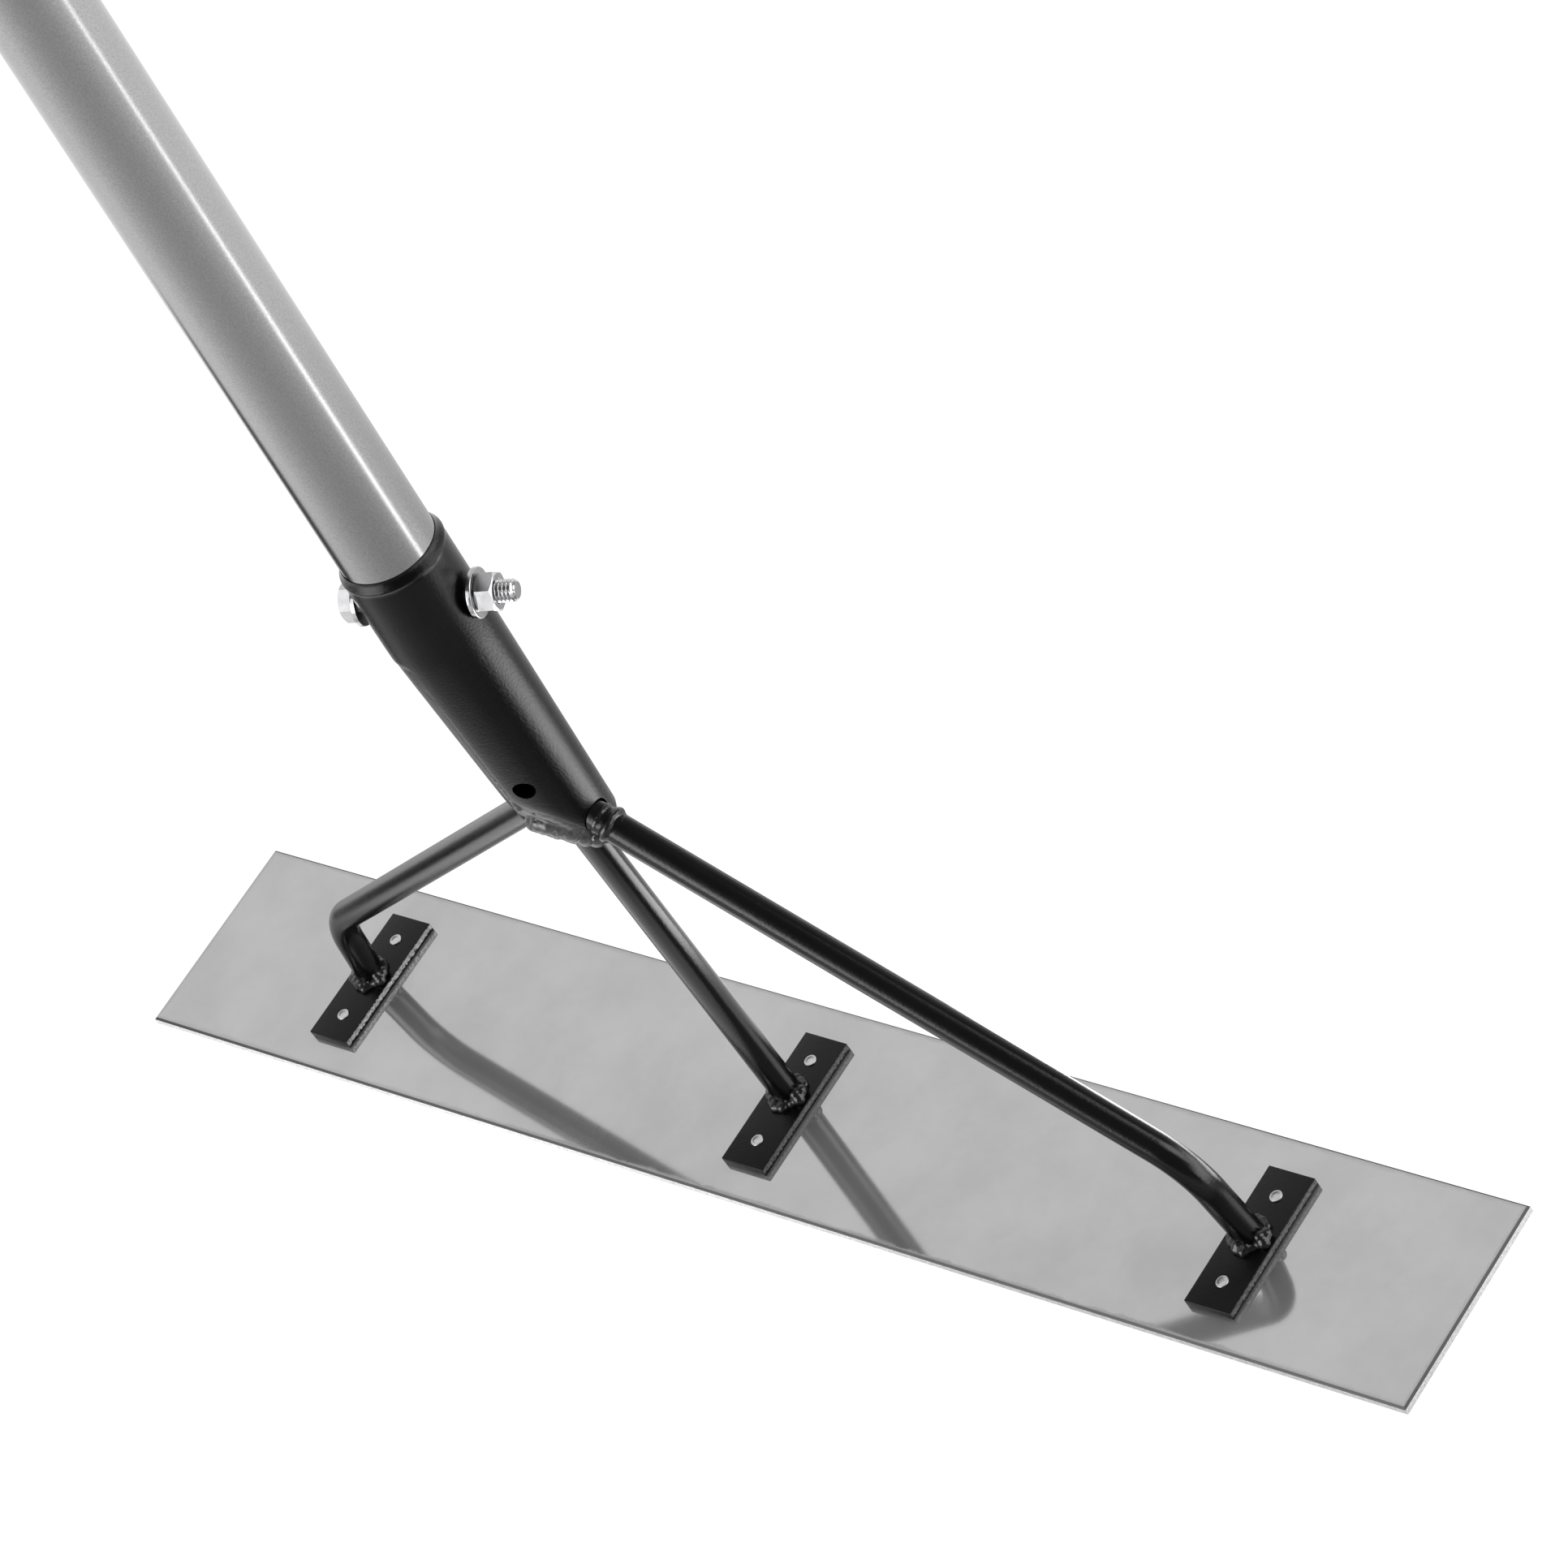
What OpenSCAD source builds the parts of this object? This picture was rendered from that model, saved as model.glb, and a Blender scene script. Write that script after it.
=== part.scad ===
// Smoothing lute: a flat screed blade carried by three welded rods under a long tube handle.
// Millimetres. The blade lies flat with its underside at Z = 0, X along the blade,
// +Y towards its far edge, and the origin under the middle of the blade.

/* [Blade] */
// Length of the blade
blade_l = 609.6; // [500:0.1:1200]
// Width of the blade
blade_w = 84; // [76:0.5:140]
// Thickness of the blade
blade_t = 3.2; // [3:0.1:6]
// Bevel that takes the sharpness off the blade's top edges
blade_bevel = 0.8; // [0.2:0.1:1.2]

/* [Straps] */
// Length of each strap across the blade
strap_l = 57.5; // [50:0.5:70]
// Width of each strap along the blade
strap_w = 20; // [18:0.5:30]
// Thickness of each strap
strap_t = 3.5; // [2.5:0.1:6]
// Distance from the blade's end to the middle of an end strap
strap_inset = 90.1; // [40:0.1:120]
// Offset of the straps from the blade's centre line
strap_y = -0.8; // [-3:0.1:3]
// Bevel along the strap's top edges
strap_bevel = 0.5; // [0.2:0.1:1]

/* [Rivets] */
// Diameter of a rivet's shank
rivet_d = 4.8; // [3.2:0.1:6]
// Distance between the two rivets of a strap
rivet_pitch = 36.2; // [34:0.1:44]
// Diameter of the countersunk head under the blade
rivet_head_d = 9; // [7.5:0.1:10]
// Height of the formed tail above the strap
rivet_tail_h = 0.5; // [0.2:0.1:1]
// Radial clearance of a rivet in its hole
rivet_clear = 0.05; // [0.02:0.01:0.2]

/* [Rods] */
// Diameter of the three round rods
rod_d = 11.3; // [8:0.1:13]
// Height of the side rod's corner above the strap
corner_h = 37.1; // [32:0.1:60]
// Outward lean of the side rod's short leg, from upright
foot_lean = 11.3; // [0:0.1:20]
// Bend radius of the side rods, at the middle of the rod
bend_r = 34.6; // [20:0.1:40]
// Height above the blade where the rods' centre lines meet
apex_h = 182.7; // [172:0.1:195]
// Offset of the side rods from the blade's centre line
side_rod_y = 0.6; // [-2:0.1:3]
// Offset of the middle rod's foot from the blade's centre line
mid_rod_y = 2.5; // [-2:0.1:4]
// Lean of the middle rod towards the near edge
mid_rod_lean = 0.55; // [0:0.05:1]
// Gap between the end of a side rod and the middle rod
rod_end_gap = 0.4; // [0.2:0.1:2]

/* [Ferrule] */
// Outside diameter of the ferrule tube
ferrule_d = 38.1; // [36:0.1:44]
// Wall of the ferrule tube
ferrule_wall = 1.5; // [1:0.1:2]
// Distance of the ferrule's lower end below the point where the rods' centre lines meet
toe_drop = 14.7; // [12:0.1:17]
// Length of the narrowed part
narrow_l = 101; // [80:1:120]
// Half angle of the narrowed part
taper_half = 2.1; // [1:0.1:2.5]
// Length of the straight part that holds the handle
socket_l = 40; // [36:1:80]
// Height of the rounded lip at the mouth
lip_h = 4.3; // [2:0.1:6]
// Slope of the cut that bevels the near side of the lower end
heel_slope = 60.6; // [50:0.1:65]
// Width of the closed-up seam on the near side
seam_w = 0.8; // [0.4:0.1:2]
// Diameter of the drain hole
drain_d = 8; // [5:0.5:9]
// Distance of the drain hole above the ferrule's lower end
drain_rise = 34; // [30:1:60]
// Bearing of the drain hole round the axis
drain_turn = -55; // [-70:1:-30]
// Gap round a side rod where it passes through the ferrule's wall
notch_clear = 0.3; // [0.1:0.1:1]

/* [Welds] */
// Reach of a foot weld from the rod's surface, on the strap
foot_weld_reach = 3.7; // [2:0.1:4.2]
// Height of a foot weld above the strap
foot_weld_h = 5.5; // [3:0.5:8]
// Depth of the weld that closes the ferrule's lower end
socket_weld_h = 8; // [5:0.5:12]
// Reach of that weld's edge in from the ferrule's surface
socket_weld_inset = 0.5; // [0.2:0.1:1]
// Thickness of the weld collar round a side rod
arm_weld_t = 2.2; // [1:0.1:3]
// Length of the weld collar outside the ferrule
arm_weld_l = 6; // [3:0.5:10]

/* [Handle] */
// Outside diameter of the handle tube
handle_d = 34.9; // [33:0.1:35]
// Wall of the handle tube
handle_wall = 1.5; // [1:0.1:3]
// Length of the handle tube
handle_l = 1524; // [900:1:1830]
// Lean of the handle towards the far edge, from upright
handle_tilt = 3.65; // [0:0.05:5]
// Place where the handle's axis line meets the top of the blade
handle_foot_y = -13.9; // [-16:0.1:-10]
// Gap between the handle's lower end and the narrowed part of the ferrule
handle_end_gap = 1.5; // [0.5:0.1:5]
// Length of the grip sleeve on the handle
grip_l = 165; // [100:1:250]
// Wall of the grip sleeve
grip_wall = 2.2; // [1:0.1:4]
// Thickness of the grip's closed end
grip_end = 5; // [3:0.5:8]
// Radial clearance between the grip and the handle
grip_clear = 0.05; // [0.02:0.01:0.3]

/* [Bolt] */
// Diameter of the bolt
bolt_d = 7.9; // [6:0.1:8]
// Length of the bolt under its head
bolt_l = 57.15; // [56:0.05:70]
// Width across the flats of the head and nut
hex_af = 12.7; // [11:0.1:13]
// Height of the bolt's head
head_h = 5.3; // [4:0.1:6]
// Height of the nut
nut_h = 6.75; // [5:0.05:7.5]
// Diameter of the washers
washer_d = 17.4; // [14:0.1:20]
// Thickness of the washers
washer_t = 1.65; // [1:0.05:2.5]
// Distance of the bolt below the ferrule's mouth
bolt_drop = 24.7; // [20:0.1:26]
// Bearing of the bolt's threaded end round the axis, from +X
bolt_turn = 24; // [0:1:40]
// How far the nut has been turned about the bolt (degrees)
nut_turn = -17; // [-30:1:30]
// How far the bolt's head is turned about the bolt (degrees)
head_turn = 13; // [-30:1:30]
// Angle by which the bolt dips out of square, threaded end down
bolt_dip = 6.5; // [0:0.5:8]
// Radial clearance of the bolt in the drilled holes
bolt_hole_clear = 0.4; // [0.2:0.05:1]
// Radial clearance of the bolt in its nut and washers
bolt_fit_clear = 0.05; // [0.02:0.01:0.1]
// Gap between faces that are clamped together
face_gap = 0.02; // [0:0.01:0.1]

/* [Hidden] */

$fn = 64;

// Colours
aluminium_colour = "silver";
tube_colour = [0.82, 0.82, 0.83];
black_colour = [0.07, 0.07, 0.07];
zinc_colour = [0.85, 0.86, 0.87];

// A little more than nothing, for cuts that must run past a face
past = 1;
// Longer than any piece, for cuts that remove all of one side
far = 400;

// Levels of the flat pieces
blade_top = blade_t;
strap_top = blade_top + strap_t;

// Rivets
rivet_r = rivet_d / 2;
rivet_hole_r = rivet_r + rivet_clear;
rivet_head_depth = rivet_head_d / 2 - rivet_r;
tail_bevel = rivet_tail_h / 2;

// Straps
strap_pitch = blade_l / 2 - strap_inset;

// Side rods: a short leg, a bend and a long arm that rises to the apex
rod_r = rod_d / 2;
corner_x = strap_pitch - corner_h * tan(foot_lean);
corner_z = strap_top + corner_h;
apex_z = blade_top + apex_h;
arm_slope = atan((apex_z - corner_z) / corner_x);
bend_turn = 90 - foot_lean - arm_slope;
bend_tangent = bend_r * tan(bend_turn / 2);
bend_lap = 1;
bend_step = 0.03;
leg_l = corner_h / cos(foot_lean) - bend_tangent;
arm_end_x = rod_r + rod_end_gap + rod_r * sin(arm_slope);
arm_l = (corner_x - arm_end_x) / cos(arm_slope) - bend_tangent;

// Middle rod: its end stops just under the level where the side rods end
mid_rod_top = apex_z - rod_r;

// Ferrule
ferrule_r = ferrule_d / 2;
bore_r = ferrule_r - ferrule_wall;
lip_r = bore_r + ferrule_wall / 4;
toe_h = apex_h - toe_drop;
taper_h = toe_h + narrow_l;
mouth_h = taper_h + socket_l;
drain_h = toe_h + drain_rise;
notch_z = apex_z - ferrule_r * tan(arm_slope);
taper_step = 0.1;
taper_lap = ferrule_r * sin(taper_half) + past / 2;

// Handle
handle_r = handle_d / 2;
handle_from = taper_h + handle_end_gap;
handle_top = handle_from + handle_l;
grip_in_r = handle_r + grip_clear;
grip_r = grip_in_r + grip_wall;
grip_from = handle_top - grip_l;
grip_top = handle_top + grip_clear + grip_end;
grip_round = grip_end / 2;

// Bolt: a washer that is out of square rests on its edge, further out than the tube's side
bolt_r = bolt_d / 2;
hole_r = bolt_r + bolt_hole_clear;
fit_r = bolt_r + bolt_fit_clear;
washer_r = washer_d / 2;
bolt_h = mouth_h - bolt_drop;
hex_r = hex_af / 2 / cos(30);
washer_seat = ferrule_r / cos(bolt_dip) + washer_r * tan(bolt_dip) + face_gap;
head_seat = washer_seat + washer_t + face_gap;
hex_bevel = hex_r - hex_af / 2;

// Welds
foot_weld_r = rod_r + foot_weld_reach;
foot_weld_top_r = rod_r + foot_weld_reach / 4;

// Flat bar with bevelled top edges: l along X, w along Y, t high
module bevelled_bar(l, w, t, bevel) {
    intersection() {
        rotate([90, 0, 90])
            translate([0, 0, -l / 2])
                linear_extrude(height = l)
                    bevelled_section(w, t, bevel);
        rotate([90, 0, 0])
            translate([0, 0, -w / 2])
                linear_extrude(height = w)
                    bevelled_section(l, t, bevel);
    }
}

module bevelled_section(w, t, bevel) {
    polygon([
        [-w / 2, 0], [w / 2, 0],
        [w / 2, t - bevel], [w / 2 - bevel, t],
        [-w / 2 + bevel, t], [-w / 2, t - bevel]
    ]);
}

// Places children at both rivets of the strap at x
module at_strap_rivets(x) {
    for (side = [-1, 1])
        translate([x, strap_y + side * rivet_pitch / 2, 0])
            children();
}

module blade() {
    color(aluminium_colour)
    difference() {
        bevelled_bar(blade_l, blade_w, blade_t, blade_bevel);
        for (x = [-strap_pitch, 0, strap_pitch])
            at_strap_rivets(x)
                rivet_hole();
    }
}

// Countersunk hole through the blade
module rivet_hole() {
    translate([0, 0, -past])
        cylinder(r = rivet_hole_r, h = strap_top + 2 * past);
    translate([0, 0, -rivet_clear])
        cylinder(
            r1 = rivet_head_d / 2 + 2 * rivet_clear,
            r2 = rivet_r + rivet_clear,
            h = rivet_head_depth + rivet_clear
        );
}

module strap(x) {
    color(black_colour)
    difference() {
        translate([x, strap_y, blade_top])
            bevelled_bar(strap_w, strap_l, strap_t, strap_bevel);
        at_strap_rivets(x)
            translate([0, 0, -past])
                cylinder(r = rivet_hole_r, h = strap_top + 2 * past);
    }
}

// One flush rivet: countersunk head below, low formed tail above the strap
module rivet(x, side) {
    color(zinc_colour)
    translate([x, strap_y + side * rivet_pitch / 2, 0])
        rotate_extrude()
            polygon([
                [0, 0], [rivet_head_d / 2, 0],
                [rivet_r, rivet_head_depth],
                [rivet_r, strap_top + rivet_tail_h - tail_bevel],
                [rivet_r - tail_bevel, strap_top + rivet_tail_h],
                [0, strap_top + rivet_tail_h]
            ]);
}

// Solid along a side rod's centre line, r thick, with the arm run on by extra
module side_rod_line(side, r, extra = 0) {
    mirror([side < 0 ? 1 : 0, 0, 0])
    translate([0, side_rod_y, 0])
    difference() {
        union() {
            translate([strap_pitch, 0, strap_top])
                rotate([0, -foot_lean, 0])
                    translate([0, 0, -2 * r])
                        cylinder(r = r, h = leg_l + 2 * r);
            translate([
                corner_x + bend_tangent * sin(foot_lean) - bend_r * cos(foot_lean),
                0,
                corner_z - bend_tangent * cos(foot_lean) - bend_r * sin(foot_lean)
            ])
                rotate([90, bend_lap - foot_lean, 0])
                    rotate_extrude(angle = bend_turn + 2 * bend_lap)
                        translate([bend_r, 0])
                            circle(r = r - bend_step);
            translate([
                corner_x - bend_tangent * cos(arm_slope),
                0,
                corner_z + bend_tangent * sin(arm_slope)
            ])
                rotate([0, arm_slope - 90, 0])
                    cylinder(r = r, h = arm_l + extra);
        }
        // the leg is cut off square on the strap
        translate([strap_pitch - far / 2, -far / 2, strap_top - far])
            cube([far, far, far]);
    }
}

module side_rod(side) {
    color(black_colour)
        side_rod_line(side, rod_r);
}

// Solid along the middle rod's centre line, from the strap up
module mid_rod_line(r) {
    difference() {
        translate([0, mid_rod_y, strap_top])
            rotate([mid_rod_lean, 0, 0])
                translate([0, 0, -r])
                    cylinder(r = r, h = mid_rod_top - strap_top + r);
        translate([-far / 2, -far / 2, strap_top - far])
            cube([far, far, far]);
    }
}

module middle_rod() {
    color(black_colour)
        mid_rod_line(rod_r);
}

// Frame of the handle: Z along its axis, counted from the top of the blade
module on_handle() {
    translate([0, handle_foot_y, blade_top])
        rotate([-handle_tilt, 0, 0])
            children();
}

// Round solid that is straight on the far side and narrows on the near side
module narrowing(r, over = 0) {
    translate([0, 0, taper_h])
        rotate([taper_half, 0, 0])
            mirror([0, 0, 1])
                cylinder(
                    r1 = r - taper_step,
                    r2 = r - taper_step - (narrow_l + over) * tan(taper_half),
                    h = narrow_l + over
                );
}

// Everything under the ferrule's lower end: a square toe and a sloping heel
module below_cut(drop = 0) {
    rotate([90, 0, 90])
        translate([0, -drop, -far / 2])
            linear_extrude(height = far)
                polygon([
                    [-far, toe_h + far * tan(heel_slope)],
                    [0, toe_h],
                    [far, toe_h],
                    [far, -far],
                    [-far, -far]
                ]);
}

module ferrule() {
    color(black_colour)
    difference() {
        on_handle()
            ferrule_shell();
        // notches for the side rods, open at the lower end
        for (side = [-1, 1])
            side_rod_line(side, rod_r + notch_clear);
        translate([-far / 2, side_rod_y - rod_r, 0])
            cube([far, rod_d, notch_z]);
    }
}

module ferrule_shell() {
    difference() {
        union() {
            translate([0, 0, taper_h - taper_lap])
                cylinder(r = ferrule_r, h = mouth_h - lip_h - taper_h + taper_lap);
            translate([0, 0, mouth_h - lip_h])
                cylinder(r1 = ferrule_r, r2 = lip_r, h = lip_h);
            narrowing(ferrule_r, ferrule_d);
        }
        translate([0, 0, taper_h - taper_lap])
            cylinder(r = bore_r, h = mouth_h - taper_h + taper_lap + past);
        narrowing(bore_r, ferrule_d + past);
        below_cut();
        // seam along the near side of the narrowed part
        translate([-seam_w / 2, -ferrule_d, 0])
            cube([seam_w, ferrule_d, taper_h]);
        on_bolt()
            translate([0, 0, -ferrule_d])
                cylinder(r = hole_r, h = 2 * ferrule_d);
        translate([0, 0, drain_h])
            rotate([0, 90, drain_turn])
                cylinder(r = drain_d / 2, h = ferrule_d);
    }
}

// Weld that closes the ferrule's lower end round the three rods
module socket_weld() {
    color(black_colour)
    difference() {
        on_handle()
            difference() {
                intersection() {
                    narrowing(ferrule_r - socket_weld_inset, ferrule_d);
                    below_cut(face_gap);
                }
                below_cut(socket_weld_h);
            }
        for (side = [-1, 1])
            side_rod_line(side, rod_r + face_gap);
        mid_rod_line(rod_r + face_gap);
    }
}

// Weld collar round a side rod where it leaves the ferrule
module arm_weld(side) {
    color(black_colour)
    difference() {
        intersection() {
            side_rod_line(side, rod_r + arm_weld_t);
            on_handle()
                narrowing(ferrule_r + arm_weld_l, ferrule_d);
        }
        side_rod_line(side, rod_r + face_gap, ferrule_r);
        on_handle()
            narrowing(ferrule_r + face_gap, 2 * ferrule_d);
        mid_rod_line(rod_r + face_gap);
    }
}

// Weld fillet round a rod's foot
module foot_weld(x, y) {
    color(black_colour)
    difference() {
        translate([x, y, strap_top + face_gap])
            cylinder(r1 = foot_weld_r, r2 = foot_weld_top_r, h = foot_weld_h);
        for (side = [-1, 1])
            side_rod_line(side, rod_r + face_gap);
        mid_rod_line(rod_r + face_gap);
    }
}

module handle_tube() {
    color(tube_colour)
    on_handle()
        difference() {
            translate([0, 0, handle_from])
                cylinder(r = handle_r, h = handle_l);
            translate([0, 0, handle_from - past])
                cylinder(r = handle_r - handle_wall, h = handle_l + 2 * past);
            on_bolt()
                translate([0, 0, -ferrule_d])
                    cylinder(r = hole_r, h = 2 * ferrule_d);
        }
}

// Closed-end sleeve over the free end of the handle
module handle_grip() {
    color(black_colour)
    on_handle()
        rotate_extrude()
            difference() {
                polygon([
                    [0, grip_from], [grip_r, grip_from],
                    [grip_r, grip_top - grip_round],
                    [grip_r - grip_round, grip_top],
                    [0, grip_top]
                ]);
                translate([-past, grip_from - past])
                    square([grip_in_r + past, grip_l + grip_clear + past]);
            }
}

// Frame of the bolt: Z along it towards the threaded end, origin on the handle's axis
module on_bolt() {
    translate([0, 0, bolt_h])
        rotate([0, 90 + bolt_dip, bolt_turn])
            children();
}

// Hexagon with its corners turned off at the end that faces +Z
module hex_block(h) {
    intersection() {
        cylinder(r = hex_r, h = h, $fn = 6);
        rotate_extrude()
            polygon([
                [0, 0], [hex_r + past, 0],
                [hex_r + past, h - hex_bevel / 2],
                [hex_r - hex_bevel / 2, h - hex_bevel / 2],
                [hex_af / 2 - hex_bevel / 2, h],
                [0, h]
            ]);
    }
}

module bolt() {
    color(zinc_colour)
    on_handle()
        on_bolt()
            union() {
                translate([0, 0, -head_seat])
                    cylinder(r = bolt_r, h = bolt_l);
                translate([0, 0, -head_seat])
                    mirror([0, 0, 1])
                        rotate([0, 0, head_turn])
                            hex_block(head_h);
            }
}

module bolt_nut() {
    color(zinc_colour)
    on_handle()
        on_bolt()
            translate([0, 0, head_seat])
                difference() {
                    rotate([0, 0, nut_turn])
                        hex_block(nut_h);
                    translate([0, 0, -past])
                        cylinder(r = fit_r, h = nut_h + 2 * past);
                }
}

// Washer on the head's side (-1) or the nut's side (1)
module washer(side) {
    color(zinc_colour)
    on_handle()
        on_bolt()
            mirror([0, 0, side < 0 ? 1 : 0])
                translate([0, 0, washer_seat])
                    difference() {
                        cylinder(r = washer_r, h = washer_t);
                        translate([0, 0, -past])
                            cylinder(r = fit_r, h = washer_t + 2 * past);
                    }
}

blade();
strap(-strap_pitch);  // left_strap
strap(0);  // middle_strap
strap(strap_pitch);  // right_strap
rivet(-strap_pitch, -1);  // left_near_rivet
rivet(-strap_pitch, 1);  // left_far_rivet
rivet(0, -1);  // middle_near_rivet
rivet(0, 1);  // middle_far_rivet
rivet(strap_pitch, -1);  // right_near_rivet
rivet(strap_pitch, 1);  // right_far_rivet
side_rod(-1);  // left_rod
middle_rod();
side_rod(1);  // right_rod
foot_weld(-strap_pitch, side_rod_y);  // left_foot_weld
foot_weld(0, mid_rod_y);  // middle_foot_weld
foot_weld(strap_pitch, side_rod_y);  // right_foot_weld
ferrule();
socket_weld();
arm_weld(-1);  // left_arm_weld
arm_weld(1);  // right_arm_weld
handle_tube();
handle_grip();
bolt();
bolt_nut();
washer(-1);  // head_washer
washer(1);  // nut_washer
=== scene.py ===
"""Looks of a long-handled screed bar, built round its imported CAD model."""

import math
import random

import bmesh
import bpy
from mathutils import Matrix, Vector, noise


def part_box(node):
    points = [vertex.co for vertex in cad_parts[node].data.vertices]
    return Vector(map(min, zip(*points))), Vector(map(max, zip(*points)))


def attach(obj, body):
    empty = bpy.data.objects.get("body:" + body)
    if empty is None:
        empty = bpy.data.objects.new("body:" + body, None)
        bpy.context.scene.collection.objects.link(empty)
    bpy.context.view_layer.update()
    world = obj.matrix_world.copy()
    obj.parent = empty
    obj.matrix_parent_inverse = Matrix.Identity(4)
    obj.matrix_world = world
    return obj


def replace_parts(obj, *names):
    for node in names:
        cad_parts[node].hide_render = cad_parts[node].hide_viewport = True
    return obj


bl_info = {
    "name": "Screed bar",
    "version": (1, 0, 0),
    "blender": (4, 5, 0),
    "location": "3D View > Sidebar > Screed",
    "description": "Builds the blade, rods, ferrule, welds, hardware and handle of a screed bar",
    "category": "Add Mesh",
}

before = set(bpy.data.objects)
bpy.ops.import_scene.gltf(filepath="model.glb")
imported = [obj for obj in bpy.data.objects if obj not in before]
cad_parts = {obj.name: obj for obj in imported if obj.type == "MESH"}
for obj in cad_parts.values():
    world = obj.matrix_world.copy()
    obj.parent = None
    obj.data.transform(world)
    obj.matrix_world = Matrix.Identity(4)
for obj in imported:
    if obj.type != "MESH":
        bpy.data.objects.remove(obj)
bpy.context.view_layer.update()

SIDES = ("left", "middle", "right")
FULL_TURN = 2 * math.pi
# Gap between pieces that touch, and clearance of the nut and the grip all round
FACE_GAP, SLIP_GAP = 0.00002, 0.00005
HEAD_TURN, NUT_TURN = math.radians(13), math.radians(-17)
BLADE_HALVES = (("X", 0.3048), ("Y", 0.042))
# How far, towards which side and over what height the ferrule's lower edge curls in
CURL, CURL_TURN, CURL_FADE = 0.0011, math.radians(58), 0.0026
# The flank of the slit that is pressed in: where it starts, how wide and how deep
FLANK_START, FLANK_SPAN, FLANK_DEPTH = math.radians(195), math.radians(75), 0.00085
# The slit's edge: height over which it starts, angle it reaches, depth it wanders
SLIT_FADE, SLIT_REACH, SLIT_WANDER = 0.0016, 0.06, 0.00022
# Length of the soft bend at the start of the taper, and clearance of the rods' notches
SOFT_BEND, NOTCH_GAP = 0.004, 0.0003
# Hexagons: flat share of the face, slope of the turned-off corners, chamfer of the bore
LAND, CORNER_SLOPE, BORE_CHAMFER = 0.955, math.radians(30), 0.0003
# Thread: share of the pitch that the crest takes and the flanks take, and the end's chamfer
CREST, THREAD_FLANKS, POINT = 0.12, 0.74, 0.0011
# Grip: thickness of its end over the tube, and the slack between them
GRIP_END, GRIP_SLACK = 0.00505, 0.0004
TO_CAMERA = (0.731, -0.682, 0.0)
WHITE = (1.0, 1.0, 1.0, 1.0)


# ---- settings


def length(name, description, metres):
    return bpy.props.FloatProperty(
        name=name, description=description, default=metres, unit="LENGTH")


def angle(name, description, degrees):
    return bpy.props.FloatProperty(
        name=name, description=description, default=math.radians(degrees), unit="ROTATION")


def tint(name, description, *rgb):
    return bpy.props.FloatVectorProperty(
        name=name, description=description, subtype="COLOR", size=3, default=rgb)


class ScreedSizes(bpy.types.PropertyGroup):
    """Sizes of the tool, in metres and radians, in the frame of the CAD model."""

    blade_top: length("Blade top", "Height of the blade's upper face", 0.0032)
    strap_top: length("Strap top", "Height of the straps' upper faces", 0.0067)
    strap_pitch: length("Strap pitch", "Distance from the middle strap to an end strap", 0.2147)
    strap_y: length("Strap offset", "Offset of the straps across the blade", -0.0008)
    strap_round: length("Strap edge", "Rounding of the coated strap edges", 0.00028)
    rivet_pitch: length("Rivet pitch", "Distance between the rivets of a strap", 0.0362)
    rod_radius: length("Rod radius", "Radius of the three rods", 0.00565)
    corner_height: length("Corner height", "Height of a side rod's corner above the strap", 0.0371)
    foot_lean: angle("Foot lean", "Outward lean of a side rod's short leg", 11.3)
    bend_radius: length("Bend radius", "Radius of the side rods' bend", 0.0346)
    apex: length("Apex", "Height above the blade where the rods' centre lines meet", 0.1827)
    side_rod_y: length("Side rod offset", "Offset of the side rods across the blade", 0.0006)
    middle_rod_y: length("Middle rod offset", "Offset of the middle rod's foot", 0.0025)
    middle_rod_lean: angle("Middle rod lean", "Lean of the middle rod", 0.55)
    tilt: angle("Handle tilt", "Lean of the handle from upright", 3.65)
    handle_foot_y: length("Handle foot", "Where the handle's axis meets the blade", -0.0139)
    handle_radius: length("Handle radius", "Outside radius of the handle tube", 0.01745)
    handle_wall: length("Handle wall", "Wall of the handle tube", 0.0015)
    handle_from: length("Handle start", "Lower end of the handle along its axis", 0.2705)
    handle_length: length("Handle length", "Length of the handle tube", 1.524)
    grip_length: length("Grip length", "Length of the grip sleeve", 0.165)
    grip_radius: length("Grip radius", "Outside radius of the grip sleeve", 0.0197)
    ferrule_radius: length("Ferrule radius", "Outside radius of the ferrule", 0.01905)
    ferrule_wall: length("Ferrule wall", "Wall of the ferrule", 0.0015)
    toe: length("Ferrule toe", "Lower end of the ferrule along the axis", 0.168)
    taper_start: length("Taper start", "Where the ferrule starts to narrow", 0.269)
    mouth: length("Ferrule mouth", "Upper end of the ferrule", 0.309)
    lip: length("Lip", "Height of the rounded lip", 0.0043)
    taper: angle("Taper", "Half angle of the narrowed part", 2.1)
    heel_slope: angle("Heel slope", "Slope of the cut on the near side", 60.6)
    seam: length("Seam", "Width of the closed-up slit", 0.0008)
    drain_radius: length("Drain hole", "Radius of the drain hole", 0.004)
    drain_height: length("Drain height", "Height of the drain hole along the axis", 0.202)
    drain_turn: angle("Drain turn", "Bearing of the drain hole", -55)
    bolt_radius: length("Bolt radius", "Radius over the thread", 0.00395)
    bolt_length: length("Bolt length", "Length under the head", 0.05715)
    bolt_height: length("Bolt height", "Height of the bolt along the handle's axis", 0.2843)
    bolt_turn: angle("Bolt turn", "Bearing of the threaded end", 24)
    bolt_dip: angle("Bolt dip", "How far the bolt is out of square", 6.5)
    flats: length("Across flats", "Width of the nut and head", 0.0127)
    head_height: length("Head height", "Height of the bolt's head", 0.0053)
    nut_height: length("Nut height", "Height of the nut", 0.00675)
    washer_radius: length("Washer radius", "Outside radius of the washers", 0.0087)
    washer_thickness: length("Washer thickness", "Thickness of the washers", 0.00165)
    thread_pitch: length("Thread pitch", "Distance between two crests", 0.00141)
    thread_depth: length("Thread depth", "Depth of the thread", 0.00075)


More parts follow.
